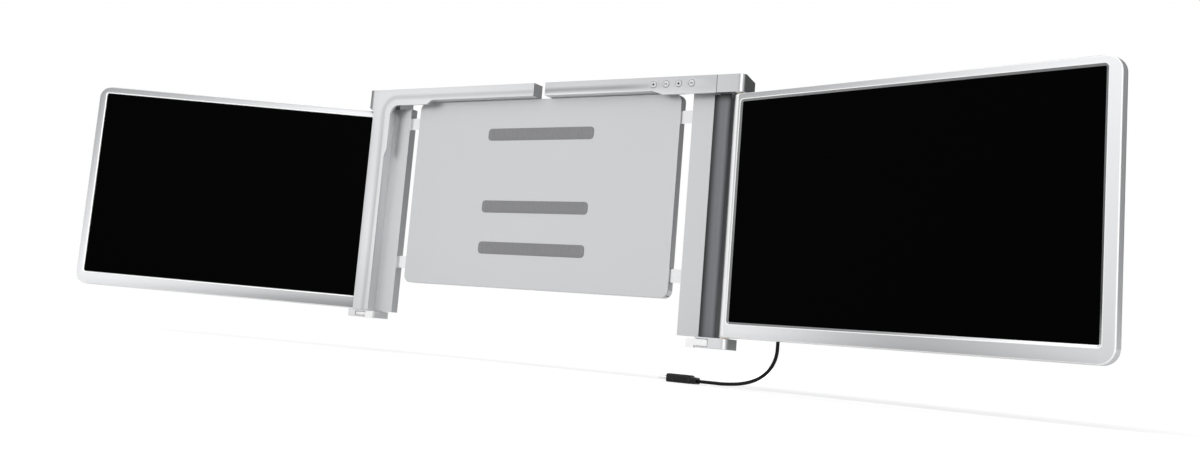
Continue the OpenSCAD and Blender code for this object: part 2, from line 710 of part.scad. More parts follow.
// plan of the frame's right end, with its rounded front edge
module end_plan(x0, d) {
  translate([x0, front_y]) square([right_side_x - side_round - x0, d]);
  translate([right_side_x - side_round - 1, front_y + side_round]) square([side_round + 1, d - side_round]);
  translate([right_side_x - side_round, front_y + side_round]) circle(side_round);
}
module right_corner_cap() {
  color("silver") difference() {
    intersection() {
      translate([0, 0, hook_z + 0.6]) linear_extrude(top_z - hook_z) end_plan(seam_x, cap_d);
      // top falls toward the back
      translate([seam_x - 1, 0, 0]) rotate([90, 0, 90]) linear_extrude(right_side_x)
        polygon([[front_y, 0], [front_y, top_z], [front_y + 4, top_z], [front_y + cap_d, top_z - cap_slope],
                 [front_y + cap_d, 0]]);
    }
    rod(right_hinge_x, right_hinge_y, hook_z, top_z - 4, pin_r + 0.01);
  }
}
module right_spine_cover() {
  color([0.3, 0.3, 0.31]) difference() {
    translate([0, 0, bracket_top + fit]) linear_extrude(hook_z + 0.6 - bracket_top - 2 * fit) intersection() {
      translate([spine_face_x, spine_front_y + spine_bow_r]) circle(spine_bow_r, $fn = 96);
      translate([spine_face_x - spine_half, spine_front_y - 1])
        square([2 * spine_half, back_y - spine_front_y + 1]);
    }
    // hollow for the ribbon cable
    box(spine_face_x - 4, spine_face_x + 4, spine_front_y + 3, back_y - frame_wall,
        bracket_top + 3, hook_z + 1);
  }
}
module right_rear_shell() {
  w = frame_wall;
  x1 = spine_face_x - spine_half - fit;
  color("silver") difference() {
    box(shell_in_x, x1, panel_y, back_y, bracket_top + fit, seat_z - fit);
    box(shell_in_x + w, x1 - w, panel_y + w, back_y - w, bracket_top + w, seat_z - w);
    slide_slots(shell_in_x - 1, shell_in_x + 3, fit);
    for (z = shell_screw_zs) {
      peg(shell_in_x + shell_screw_in, z, panel_y + w - 1, back_y + 1, 1.1);
      peg(shell_in_x + shell_screw_in, z, back_y - 0.9, back_y + 1, 2.1);
    }
  }
}
bracket_in_x = rail_in_x + 0.4;
tongue_x = bracket_in_x + tongue_grip + clip_travel; // outer end of the right clip's flush tongue
right_clip_z = (bracket_top + bottom_z) / 2 - 0.2;
module right_bracket() {
  color("gainsboro") difference() {
    translate([0, 0, bottom_z]) linear_extrude(bracket_top - bottom_z) end_plan(bracket_in_x, bracket_d);
    rod(right_hinge_x, right_hinge_y, bottom_z + 1, bracket_top + 1, pin_r + 0.01);
    box(bracket_in_x - 1, tongue_x, front_y - 1, front_y + 2.6, right_clip_z - 2.6, right_clip_z + 2.6);
    box(bracket_in_x - 1, tongue_x + 2, front_y + 1.4, front_y + 2.6, right_clip_z - 2.6, right_clip_z + 2.6);
  }
}
module right_clip() {
  color("white") {
    box(bracket_in_x - 6.6, bracket_in_x - clip_gap, front_y, flange_y, bottom_z - 0.3, bracket_top - 1.6);
    box(bracket_in_x - clip_gap - eps, tongue_x - 0.25, front_y + 0.05, front_y + 2.4,
        right_clip_z - 2.4, right_clip_z + 2.4);
  }
}
module right_slide_bars() { slide_bars(1); }
module right_hinge_pins() {
  color("gray") {
    rod(right_hinge_x, right_hinge_y, right_spine_z[1] - bush_len + 0.4, top_z - 4.1, pin_r);
    rod(right_hinge_x, right_hinge_y, bottom_z + 1.1, right_spine_z[0] + bush_len - 0.4, pin_r);
  }
}
module button_board() {
  color("darkgreen") box(button_x - 10, button_at(3) + 10, board_y, board_y + 1, seat_z + frame_wall + 0.2,
                         top_z - arm_wall - 0.2);
}
module button_switches() {
  color("dimgray") for (i = [0:3]) {
    box(button_at(i) - 1.75, button_at(i) + 1.75, board_y - 0.8, board_y, button_z - 1.75, button_z + 1.75);
    peg(button_at(i), button_z, board_y - 1, board_y - 0.8 + eps, 1.1);
  }
}
module right_frame_screws() { frame_screws(shell_in_x + shell_screw_in); }
// one button with a raised + or - on its face
module button(i, plus) {
  x = button_at(i);
  color("gainsboro") {
    peg(x, button_z, front_y - button_proud, flange_y + fit, button_d / 2);
    peg(x, button_z, flange_y + fit - eps, flange_y + fit + button_flange_t, button_flange_r);
    box(x - 1.1, x + 1.1, front_y - button_proud - 0.15, front_y - button_proud + eps,
        button_z - 0.25, button_z + 0.25);
    if (plus)
      box(x - 0.25, x + 0.25, front_y - button_proud - 0.15, front_y - button_proud + eps,
          button_z - 1.1, button_z + 1.1);
  }
}

// ---------- lead ----------
gland_top = -70.4;
gland_r = 3;
module cable_gland() {
  // pod on the back cover that the lead leaves downward
  color([0.1, 0.1, 0.1]) difference() {
    union() {
      rod(lead_route[0][0], lead_route[0][1], lead_route[0][2], gland_top, gland_r);
      translate([lead_route[0][0], lead_route[0][1], gland_top]) sphere(gland_r);
      translate([lead_route[0][0], lead_route[0][1], 0]) rotate([0, 0, -right_turn])
        box(-gland_r, gland_r, -4.8, 0, lead_route[0][2], gland_top);
    }
    // back face of the screen
    at_right() box(0, right_w, -right_back_gap - housing_t, -right_back_gap, screen_bottom, screen_top);
  }
}
function unit(v) = v / norm(v);
function tangent(p, i) = unit(p[min(i + 1, len(p) - 1)] - p[max(i - 1, 0)]);
module tube(p, d, sides) {
  rings = [for (i = [0:len(p) - 1]) let (t = tangent(p, i), b = [0, 1, 0], n = unit(cross(b, t)))
           [for (k = [0:sides - 1]) let (a = 360 * k / sides) p[i] + d / 2 * (cos(a) * n + sin(a) * b)]];
  points = [for (ring = rings) each ring];
  side_faces = [for (i = [0:len(p) - 2]) for (k = [0:sides - 1])
    let (a = i * sides + k, b = i * sides + (k + 1) % sides)
    for (f = [[a, b, b + sides], [a, b + sides, a + sides]]) f];
  polyhedron(points, concat([[for (k = [sides - 1:-1:0]) k]], side_faces,
             [[for (k = [0:sides - 1]) (len(p) - 1) * sides + k]]));
}
module lead() {
  color([0.06, 0.06, 0.06]) tube(lead_route, lead_d, 8);
}
plug_x = lead_route[len(lead_route) - 1][0];
plug_y = lead_route[len(lead_route) - 1][1];
plug_z = floor_z + plug_t / 2 + 0.05;
plug_round = 1.6;
module plug_grip() {
  // flat grip with rounded long edges
  color([0.06, 0.06, 0.06]) translate([plug_x - plug_len, plug_y, plug_z]) rotate([0, 90, 0])
    linear_extrude(plug_len) {
      translate([-plug_t / 2, -plug_w / 2 + plug_round]) square([plug_t, plug_w - 2 * plug_round]);
      translate([-plug_t / 2 + plug_round, -plug_w / 2]) square([plug_t - 2 * plug_round, plug_w]);
      for (sx = [-1, 1]) for (sy = [-1, 1])
        translate([sx * (plug_t / 2 - plug_round), sy * (plug_w / 2 - plug_round)]) circle(plug_round);
    }
}
shell_w = 8.3;
shell_t = 2.5;
module plug_shell() {
  color("silver") translate([plug_x - plug_len, plug_y, plug_z]) rotate([0, -90, 0])
    linear_extrude(6.6) difference() {
      union() {
        translate([-shell_t / 2, -shell_w / 2 + shell_t / 2]) square([shell_t, shell_w - shell_t]);
        for (s = [-1, 1]) translate([0, s * (shell_w - shell_t) / 2]) circle(shell_t / 2);
      }
      translate([-0.9, -shell_w / 2 + 1.2]) square([1.8, shell_w - 2.4]);
    }
}

panel_front_plate();
panel_rear_cover();
lid_pads();
slide_guides();
panel_screws();
stand_pin();
kickstand();
kickstand_foot();
left_front_frame();
left_rear_shell();
left_hinge_block();
left_foot_block();
left_slide_bars();
left_hinge_pins();
left_frame_screws();
left_clip();
right_arm_front();
right_arm_rear();
right_corner_cap();
right_spine_cover();
right_rear_shell();
right_bracket();
right_slide_bars();
right_hinge_pins();
button_board();
button_switches();
right_frame_screws();
right_clip();
button(0, true);  // button_left_plus
button(1, false);  // button_left_minus
button(2, true);  // button_right_plus
button(3, false);  // button_right_minus
color("gainsboro") left_housing() bezel(left_w);  // left_bezel
color("silver") left_housing() back_cover(left_w);  // left_back_cover
color("dimgray") left_housing() display();  // left_display
color([0.01, 0.01, 0.01]) left_housing() glass();  // left_glass
color("darkgreen") left_housing() board(left_w);  // left_board
color("silver") at_left() spine_body(left_spine_z, left_back_gap, left_edge_gap);  // left_hinge_spine
color("goldenrod") at_left() bushes(left_spine_z);  // left_bushes
color("gray") left_housing() screen_screws(left_w);  // left_screen_screws
color("gainsboro") right_housing() bezel(right_w);  // right_bezel
color("silver") right_housing() back_cover(right_w);  // right_back_cover
color("dimgray") right_housing() display();  // right_display
color([0.01, 0.01, 0.01]) right_housing() glass();  // right_glass
color("darkgreen") right_housing() board(right_w);  // right_board
color("silver") at_right() spine_body(right_spine_z, right_back_gap, right_edge_gap);  // right_hinge_spine
color("goldenrod") at_right() bushes(right_spine_z);  // right_bushes
color("gray") right_housing() screen_screws(right_w);  // right_screen_screws
cable_gland();
lead();
plug_grip();
plug_shell();
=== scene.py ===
import json
import math

import bmesh
import bpy
from mathutils import Matrix, Vector


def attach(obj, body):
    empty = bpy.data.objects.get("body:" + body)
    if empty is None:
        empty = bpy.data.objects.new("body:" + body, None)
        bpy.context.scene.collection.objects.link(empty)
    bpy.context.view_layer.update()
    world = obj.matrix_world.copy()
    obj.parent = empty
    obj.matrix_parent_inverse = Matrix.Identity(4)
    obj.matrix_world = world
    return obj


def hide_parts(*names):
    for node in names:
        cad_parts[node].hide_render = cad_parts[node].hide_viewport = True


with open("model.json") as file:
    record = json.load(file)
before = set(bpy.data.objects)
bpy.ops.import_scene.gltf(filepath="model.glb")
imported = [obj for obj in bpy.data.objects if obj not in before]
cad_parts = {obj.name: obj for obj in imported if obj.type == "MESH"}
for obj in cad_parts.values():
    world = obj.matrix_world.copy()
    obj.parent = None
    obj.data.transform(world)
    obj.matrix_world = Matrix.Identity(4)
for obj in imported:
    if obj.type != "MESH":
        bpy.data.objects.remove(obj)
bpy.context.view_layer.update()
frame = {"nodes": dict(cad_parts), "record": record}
print("frame loaded:", len(frame["nodes"]), "nodes")

mm = 0.001
scene = bpy.context.scene
scene.view_settings.view_transform = "Standard"

cameraPlace = {
    "spot": (0.53777, -0.83731, -0.10932),
    "yaw": 34.52,      # degrees, to the left of straight ahead
    "pitch": 7.54,     # up
    "roll": 5.31,
    "lens": 37.43,
    "shiftX": 0.0864,
    "shiftY": -0.0504,
    "sensor": 36.0,
    "clip": (0.01, 100.0),
}


def link(name, data):
    made = bpy.data.objects.new(name, data)
    scene.collection.objects.link(made)
    return made


def makeCamera(place):
    a, b, c = (math.radians(place[k]) for k in ("yaw", "pitch", "roll"))
    turnYaw = Matrix(((math.cos(a), math.sin(a), 0), (-math.sin(a), math.cos(a), 0), (0, 0, 1)))
    turnPitch = Matrix(((1, 0, 0), (0, math.cos(b), math.sin(b)), (0, -math.sin(b), math.cos(b))))
    turnRoll = Matrix(((math.cos(c), 0, math.sin(c)), (0, 1, 0), (-math.sin(c), 0, math.cos(c))))
    right, forward, up = turnRoll @ turnPitch @ turnYaw
    lens = bpy.data.cameras.new("camera")
    lens.lens, lens.sensor_width = place["lens"], place["sensor"]
    lens.shift_x, lens.shift_y = place["shiftX"], place["shiftY"]
    lens.clip_start, lens.clip_end = place["clip"]
    camera = link("camera", lens)
    facing = Matrix((right, up, -forward)).transposed().to_4x4()
    camera.matrix_world = Matrix.Translation(place["spot"]) @ facing
    scene.camera = camera


makeCamera(cameraPlace)
print("camera placed")


class Wire:
    # one socket of a shader sheet: + - * make Math nodes, add makes every other node
    def __init__(self, tree, socket=None):
        self.tree, self.socket = tree, socket

    def add(self, kind, settings=None, sockets=None, out=0):
        node = self.tree.nodes.new(kind)
        for key, value in (settings or {}).items():
            setattr(node, key, value)
        for key, value in (sockets or {}).items():
            self.plug(node.inputs[key], value)
        return Wire(self.tree, node.outputs[out])

    def other(self, name):
        return Wire(self.tree, self.socket.node.outputs[name])

    def smooth(self, start, end, low=0.0, high=1.0):
        return self.add("ShaderNodeMapRange", {"interpolation_type": "SMOOTHSTEP"},
                        {"Value": self, "From Min": start, "From Max": end, "To Min": low, "To Max": high})

    def plug(self, target, value):
        if isinstance(value, Wire):
            self.tree.links.new(value.socket, target)
        elif isinstance(value, tuple) and len(value) == 3 and len(target.default_value) == 4:
            target.default_value = (*value, 1)
        else:
            target.default_value = value

    def calc(self, operation, a, b):
        return self.add("ShaderNodeMath", {"operation": operation}, {0: a, 1: b})

    def __add__(self, other):
        return self.calc("ADD", self, other)

    def __sub__(self, other):
        return self.calc("SUBTRACT", self, other)

    def __rsub__(self, other):
        return self.calc("SUBTRACT", other, self)

    def __mul__(self, other):
        return self.calc("MULTIPLY", self, other)

    __radd__, __rmul__ = __add__, __mul__


def newFinish(name):
    material = bpy.data.materials.new(name)
    material.use_nodes = True
    tree = material.node_tree
    tree.nodes.clear()
    sheet = Wire(tree)
    return material, sheet, sheet.add("ShaderNodeTexCoord", None, None, "Object")


def endSheet(sheet, shader, kind="ShaderNodeOutputMaterial"):
    target = sheet.tree.nodes.new(kind)
    sheet.tree.links.new(shader.socket, target.inputs["Surface"])


def closeFinish(sheet, sockets):
    endSheet(sheet, sheet.add("ShaderNodeBsdfPrincipled", None, sockets))


def scaled(sheet, colour, shade):
    return sheet.add("ShaderNodeVectorMath", {"operation": "SCALE"}, {0: colour, "Scale": shade})


def noise(sheet, place, scale, detail):
    return sheet.add("ShaderNodeTexNoise", None, {"Vector": place, "Scale": scale, "Detail": detail})


satinLook = {
    "colour": (0.56, 0.565, 0.575),
    "metallic": 0.75,
    "rough": 0.32,
    "roughSpread": 0.05,
    "tone": 0.02,        # how far the colour drifts over a hand's width
    "cloud": 14.0,       # size of that drift, per metre
    "grain": 2600.0,     # blasted grain, per metre
    "grainDepth": 0.000012,
    "bump": 0.25,
    "groove": 0.0,       # painted shade: how much darker the finish is where the groove attribute is 1
    "corners": None,     # painted light and shade: tones at each corner of a piece, with the box they belong to
}


def cornerTone(sheet, place, plan):
    # painted light and shade that runs between four corner tones: left and right ends, along the bottom and
    # along the top
    split = sheet.add("ShaderNodeSeparateXYZ", None, {0: place})
    across = split.smooth(*plan["x"])
    up = sheet.add("ShaderNodeMapRange", None,
                   {"Value": split.other("Z"), "From Min": plan["z"][0], "From Max": plan["z"][1]})
    low = plan["low"][0] + across * (plan["low"][1] - plan["low"][0])
    if "paintedShadeDip" in plan:       # painted shade, darker halfway along the bottom
        low = low - across * (1 - across) * (4 * plan["paintedShadeDip"])
    high = plan["high"][0] + across * (plan["high"][1] - plan["high"][0])
    return low + (high - low) * up


def satinFinish(name, **changes):
    look = {**satinLook, **changes}
    material, sheet, place = newFinish(name)
    cloud = noise(sheet, place, look["cloud"], 3.0)
    grain = noise(sheet, place, look["grain"], 2.0)
    shade = 1 + (cloud - 0.5) * (2 * look["tone"])
    # painted shade in the groove, where the groove attribute is 1
    if look["groove"]:
        sunk = sheet.add("ShaderNodeAttribute", {"attribute_name": "groove"}, None, "Fac")
        shade = shade * (1 - sunk * look["groove"])
    # painted light and shade between the tones at each corner
    if look["corners"]:
        shade = shade * cornerTone(sheet, place, look["corners"])
    bump = sheet.add("ShaderNodeBump", None, {"Strength": look["bump"], "Distance": look["grainDepth"],
                                              "Height": grain})
    closeFinish(sheet, {
        "Base Color": scaled(sheet, look["colour"], shade),
        "Metallic": look["metallic"],
        "Roughness": look["rough"] + (grain - 0.5) * (2 * look["roughSpread"]),
        "Normal": bump,
    })
    return material


columnLook = {
    "colour": (0.155, 0.159, 0.17), "metallic": 0.35, "rough": 0.42, "grain": 2200.0,
    "middle": 160.6, "halfWide": 8.0, "flat": 0.12,      # painted shade across the column: palest line, half the fade, share with no fade
    "paintedEdgeShade": 0.18, "roughSpread": 0.05,
    "under": (86.4, 80.0), "paintedCapShadow": 0.15,            # painted shadow, dark just under the cap, clear from 80 down
}


def columnFinish(name, look):
    # dark satin with painted shade: palest along the middle of the column, darker towards its sides
    material, sheet, place = newFinish(name)
    grain = noise(sheet, place, look["grain"], 2.0)
    across = sheet.add("ShaderNodeSeparateXYZ", None, {0: place})
    side = sheet.add("ShaderNodeMath", {"operation": "ABSOLUTE"}, {0: across - look["middle"] * mm})
    wide = look["halfWide"] * mm
    # painted shade towards the column's sides, and a painted shadow just under the cap
    tone = side.smooth(look["flat"] * wide, wide, 1.0, look["paintedEdgeShade"])
    top = across.other("Z").smooth(look["under"][0] * mm, look["under"][1] * mm, look["paintedCapShadow"], 1.0)
    closeFinish(sheet, {
        "Base Color": scaled(sheet, look["colour"], tone * top),
        "Metallic": look["metallic"],
        "Roughness": look["rough"] + (grain - 0.5) * (2 * look["roughSpread"]),
    })
    return material


mouldedLook = {
    "colour": (0.5, 0.5, 0.5), "rough": 0.45, "roughSpread": 0.05, "tone": 0.02, "cloud": 60.0,
    "coat": 0.0, "shine": 0.5, "grain": 1500.0, "grainDepth": 0.00002, "bump": 0.3,
}


def mouldedFinish(name, **changes):
    look = {**mouldedLook, **changes}
    material, sheet, place = newFinish(name)
    pebble = sheet.add("ShaderNodeTexVoronoi", {"feature": "SMOOTH_F1"},
                       {"Vector": place, "Scale": look["grain"]})
    cloud = noise(sheet, place, look["cloud"], 3.0)
    shade = 1 + (cloud - 0.5) * (2 * look["tone"])
    bump = sheet.add("ShaderNodeBump", None, {"Strength": look["bump"], "Distance": look["grainDepth"],
                                              "Height": pebble})
    closeFinish(sheet, {
        "Base Color": scaled(sheet, look["colour"], shade),
        "Roughness": look["rough"] + (cloud - 0.5) * (2 * look["roughSpread"]),
        "Coat Weight": look["coat"],
        "Specular IOR Level": look["shine"],
        "Normal": bump,
    })
    return material


turnedLook = {"colour": (0.62, 0.62, 0.63), "rough": 0.28, "roughSpread": 0.12, "rings": 900.0, "wobble": 2.0}


def turnedFinish(name, **changes):
    look = {**turnedLook, **changes}
    material, sheet, place = newFinish(name)
    rings = sheet.add("ShaderNodeTexWave", {"bands_direction": "Z"},
                      {"Vector": place, "Scale": look["rings"], "Distortion": look["wobble"]})
    closeFinish(sheet, {
        "Base Color": look["colour"],
        "Metallic": 1.0,
        "Roughness": look["rough"] + (rings - 0.5) * look["roughSpread"],
    })
    return material


glassLook = {"colour": (0.0004, 0.0004, 0.0004), "rough": 0.35, "roughSpread": 0.06, "shine": 0.01,
             "smear": 25.0}


def glassFinish(name, look):
    material, sheet, place = newFinish(name)
    smear = noise(sheet, place, look["smear"], 4.0)
    closeFinish(sheet, {
        "Base Color": look["colour"],
        "Roughness": look["rough"] + (smear - 0.5) * look["roughSpread"],
        "Specular IOR Level": look["shine"],
    })
    return material


finishes = {
    # frameSilver: painted shade in the groove
    "frame_silver": satinFinish("frameSilver", colour=(0.61, 0.615, 0.625), groove=0.22),
    # earSilver: painted shade on the ear's left side
    "ear_silver": satinFinish("earSilver", colour=(0.61, 0.615, 0.625), corners={
        "x": (-0.1715, -0.1692), "z": (-0.1, 0.1), "low": (0.45, 1.0), "high": (0.32, 1.0)}),
    # armSilver: painted shade in the groove and a painted highlight along the lower edge, strongest at the
    # left end
    "arm_silver": satinFinish("armSilver", colour=(0.50, 0.505, 0.515), groove=0.46, corners={
        "x": (0.007, 0.156), "z": (0.0885, 0.0950), "low": (1.42, 1.05), "high": (1.08, 0.98)}),
    # capSilver: painted shade on the right sides of the cap and bracket, with a slight painted highlight on
    # the bracket's front
    "cap_silver": satinFinish("capSilver", colour=(0.48, 0.485, 0.495), metallic=0.85, rough=0.2, corners={
        "x": (0.1762, 0.1779), "z": (-0.1, 0.1), "low": (1.14, 0.50), "high": (1.0, 0.55)}),
    "cover_silver": satinFinish("coverSilver", colour=(0.50, 0.505, 0.515), rough=0.36),
    "clip_white": mouldedFinish("clipWhite", colour=(0.92, 0.92, 0.92), rough=0.4),
    "button_grey": satinFinish("buttonGrey", colour=(0.62, 0.625, 0.635), metallic=0.3, rough=0.34),
    "column_grey": columnFinish("columnGrey", columnLook),
    "pad_grey": mouldedFinish("padGrey", colour=(0.24, 0.24, 0.25), rough=0.8),
    "guide_white": mouldedFinish("guideWhite", colour=(0.85, 0.85, 0.83), rough=0.5),
    "steel": turnedFinish("steel"),
    "bush_brass": turnedFinish("bushBrass", colour=(0.78, 0.60, 0.32)),
    "display_grey": satinFinish("displayGrey", colour=(0.35, 0.35, 0.36), metallic=0.8),
    "glass_black": glassFinish("glassBlack", glassLook),
    "board_green": mouldedFinish("boardGreen", colour=(0.03, 0.22, 0.1), rough=0.35, coat=0.3),
    "switch_black": mouldedFinish("switchBlack", colour=(0.05, 0.05, 0.05)),
    "lead_black": mouldedFinish("leadBlack", colour=(0.006, 0.006, 0.006), rough=0.6, shine=0.12),
    "plug_black": mouldedFinish("plugBlack", colour=(0.004, 0.004, 0.004), rough=0.28, shine=0.25),
    "plug_steel": turnedFinish("plugSteel", colour=(0.75, 0.75, 0.76), rough=0.18),
}
markFinish = mouldedFinish("markGrey", colour=(0.10, 0.11, 0.14), rough=0.5, shine=0.2)
ownFinish = {       # pieces whose finish differs from the rest of their slot by painted light and shade
    "left_hinge_block": "ear_silver", "right_arm_front": "arm_silver", "right_corner_cap": "cap_silver",
    "right_bracket": "cap_silver",
}
slotOf = {row["node"]: row["material_slot"] for row in frame["record"]["subparts"]}
bodyOf = {n: b for b, members in frame["record"]["behaviour"]["bodies"].items() for n in members}
for nodeName, node in frame["nodes"].items():
    node.data.materials.clear()
    node.data.materials.append(finishes[slotOf[nodeName]])
print("finishes made:", len(finishes))

weldGap = 2e-6       # metres: points of a CAD node closer than this are one
flatBend = 0.6       # degrees: faces that bend less are one
sharpBend = 30.0     # degrees: edges of a CAD node that bend more are eased


def shadeSmooth(mesh, sharp):
    mesh.shade_smooth()
    mesh.set_sharp_from_angle(angle=math.radians(sharp))


def meshObject(name, verts, faces, sharp):
    mesh = bpy.data.meshes.new(name)
    mesh.from_pydata([tuple(v) for v in verts], [], faces)
    work = bmesh.new()
    work.from_mesh(mesh)
    bmesh.ops.recalc_face_normals(work, faces=work.faces)
    work.to_mesh(mesh)
    work.free()
    shadeSmooth(mesh, sharp)
    return link(name, mesh)


def dress(piece, *nodes):
    piece.data.materials.clear()
    piece.data.materials.append(finishes[ownFinish.get(nodes[0], slotOf[nodes[0]])])
    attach(piece, bodyOf[nodes[0]])
    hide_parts(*nodes)
    return piece


cornerSteps = 8


def cornerLoop(x0, x1, z0, z1, radii):
    # anticlockwise from the lower left, radii in the same order
    loop = []
    spots = ((x0, z0, 180), (x1, z0, 270), (x1, z1, 0), (x0, z1, 90))
    signs = ((1, 1), (-1, 1), (-1, -1), (1, -1))
    for (cx, cz, start), (sx, sz), r in zip(spots, signs, radii):
        for i in range(cornerSteps + 1):
            t = math.radians(start + 90 * i / cornerSteps)
            loop.append((cx + sx * r + r * math.cos(t), cz + sz * r + r * math.sin(t)))
    return loop


def bridge(loops, close=False):
    count = len(loops[0])
    verts = [v for loop in loops for v in loop]
    pairs = [(k, k + 1) for k in range(len(loops) - 1)] + ([(len(loops) - 1, 0)] if close else [])
    faces = [(a * count + i, a * count + (i + 1) % count, b * count + (i + 1) % count, b * count + i)
             for a, b in pairs for i in range(count)]
    return verts, faces


def capped(loops):
    verts, faces = bridge(loops)
    count = len(loops[0])
    return verts, faces + [tuple(range(count))[::-1], tuple(range(len(verts) - count, len(verts)))]


def ringAt(cx, cz, r, y, count):
    turns = [2 * math.pi * i / count for i in range(count)]
    return [Vector((cx + r * math.cos(t), y, cz + r * math.sin(t))) * mm for t in turns]


def welded(node):
    work = bmesh.new()
    work.from_mesh(frame["nodes"][node].data)
    bmesh.ops.remove_doubles(work, verts=work.verts, dist=weldGap)
    return work


def dissolveFlat(work):
    bmesh.ops.dissolve_limit(work, angle_limit=math.radians(flatBend), verts=work.verts, edges=work.edges)


def addEase(piece, width, segments, angle):
    ease = piece.modifiers.new("ease", "BEVEL")
    ease.width, ease.segments = width * mm, segments
    ease.limit_method, ease.angle_limit = "ANGLE", math.radians(angle)
    return ease


def softCopy(node, width):
    # a welded copy of a CAD node with its hard edges eased
    work = welded(node)
    dissolveFlat(work)
    mesh = bpy.data.meshes.new(node + "_eased")
    work.to_mesh(mesh)
    work.free()
    shadeSmooth(mesh, sharpBend)
    piece = link(node + "_eased", mesh)
    addEase(piece, width, 2, sharpBend).harden_normals = True
    return dress(piece, node)


def keepResult(piece, modifier):
    # the modifier's result as the piece's own plain mesh
    graph = bpy.context.evaluated_depsgraph_get()
    mesh = bpy.data.meshes.new_from_object(piece.evaluated_get(graph))
    piece.modifiers.remove(modifier)
    old = piece.data
    piece.data = mesh
    bpy.data.meshes.remove(old)


leadShape = {
    "diameter": 2.4, "around": 6, "fine": 4,      # fine: curve points for each stretch of the route
    "route": ((217.4, -14, -84), (217.4, -14, -88), (217.4, -14, -92), (217.4, -14, -96),
              (217.2, -14, -99.5), (216.5, -14, -103), (215.2, -14, -106.6), (213, -14, -110.5),
              (210.2, -14, -113.8), (206.6, -14, -116.8), (202.2, -14, -119.3), (197, -14, -121.3),
              (191, -14, -122.7), (184.5, -14, -123.5), (178, -14, -123.9), (172, -14, -123.9),
              (166, -14, -123.9), (160, -14, -123.9)),
}


def makeLead(shape):
    route = [Vector(p) * mm for p in shape["route"]]
    curve = bpy.data.curves.new("leadLine", "CURVE")
    curve.dimensions = "3D"
    curve.bevel_depth = shape["diameter"] / 2 * mm
    curve.bevel_resolution = shape["around"]
    curve.use_fill_caps = True
    spline = curve.splines.new("POLY")
    fine = []
    for i in range(len(route) - 1):
        p0, p1 = route[max(i - 1, 0)], route[i]
        p2, p3 = route[i + 1], route[min(i + 2, len(route) - 1)]
        for k in range(shape["fine"]):
            t = k / shape["fine"]
            fine.append(0.5 * (2 * p1 + (p2 - p0) * t + (2 * p0 - 5 * p1 + 4 * p2 - p3) * t * t
                               + (3 * p1 - p0 - 3 * p2 + p3) * t ** 3))
    fine.append(route[-1])
    spline.points.add(len(fine) - 1)
    for point, spot in zip(spline.points, fine):
        point.co = (*spot, 1)
    spline.use_smooth = True
    lead = dress(link("leadLine", curve), "lead")
    length = sum((b - a).length for a, b in zip(fine, fine[1:]))
    print("lead:", round(length / mm, 1), "mm")


plugShape = {
    "grip": (137.5, 160.0), "y": -14.0, "z": -123.05, "width": 11.0, "thick": 6.1, "round": 1.6,
    # distance from the near end or the lead's end, and share of the full section
    "nose": ((0.0, 0.88), (0.4, 0.96), (1.0, 1.0)),
    "collar": ((5.8, 1.0), (4.6, 0.90), (4.1, 0.80), (0.6, 0.76), (0.0, 0.70)),
    "settle": 0.8,       # 1 keeps the underside level along the grip
    "sharp": 40, "shellEase": 0.15,
}


def makePlug(shape):
    near, far = shape["grip"]
    stations = [(near + x, s) for x, s in shape["nose"]] + [(far - x, s) for x, s in shape["collar"]]
    loops = []
    for x, s in stations:
        wide, thick, r = shape["width"] * s, shape["thick"] * s, shape["round"] * s
        middle = shape["z"] - (shape["thick"] - thick) / 2 * shape["settle"]
        loops.append([(x * mm, (shape["y"] + a) * mm, (middle + b) * mm)
                      for a, b in cornerLoop(-wide / 2, wide / 2, -thick / 2, thick / 2, (r,) * 4)])
    return dress(meshObject("plugGrip", *capped(loops), shape["sharp"]), "plug_grip")


plugGrip = makePlug(plugShape)
plugShell = softCopy("plug_shell", plugShape["shellEase"])
makeLead(leadShape)

screenShape = {
    "bezelHinge": 8.3, "screenW": 252.8, "screenH": 158.0, "bezelBottom": 11.1, "bezelTop": 6.3,
    "thick": 8.0, "bezelDeep": 5.5, "bottom": -91.8, "cornerFree": 10.0, "cornerHinge": 2.0,
    "glassDeep": 1.0, "glassRound": 1.0, "glassGap": 0.12, "gapDeep": 1.9,
    # the bevel's lip, painted near-white as a highlight: share of its width, depth, share of the bevel that
    # rounds the corner
    "lipSteps": ((1.0, 0.16, 0.8), (0.4, 0.03, 0.9), (0.0, 0.0, 1.0)),
    "roll": 5.0, "rollFade": 2.0,        # rolled edge along the hinge, and how far it fades out
    "edge": 0.8, "rimSteps": 8, "leastRound": 0.4, "sharp": 24,
    "backEdge": 1.2, "backSteps": 5, "backLeast": 0.3, "backSharp": 38, "spineEase": 0.25,
    "seam": ((2.0, 0.0), (0.25, 0.0), (0.25, 0.12), (0.0, 0.2)),     # inset and depth behind the bezel
}
sides = {
    "left": {"free": 7.1, "bevel": 1.25, "lip": 0.9, "axis": (-162.0, 21.0), "turn": 34.0, "mirror": -1,
             "edgeGap": -0.4, "backGap": 2.8},
    "right": {"free": 9.3, "bevel": 2.0, "lip": 0.55, "axis": (171.0, 2.0), "turn": -13.9, "mirror": 1,
              "edgeGap": 6.1, "backGap": 8.5},
}


def housingFrame(side):
    corner = (side["edgeGap"], -side["backGap"] - screenShape["thick"], screenShape["bottom"])
    return (Matrix.Translation((side["axis"][0], side["axis"][1], 0))
            @ Matrix.Rotation(math.radians(side["turn"]), 4, "Z")
            @ Matrix.Diagonal((side["mirror"], 1, 1, 1)) @ Matrix.Translation(corner))


def housingSize(side, shape):
    return (shape["bezelHinge"] + shape["screenW"] + side["free"],
            shape["bezelBottom"] + shape["screenH"] + shape["bezelTop"])


def placed(loop, y, turn):
    return [(turn @ Vector((x, y, z))) * mm for x, z in loop]


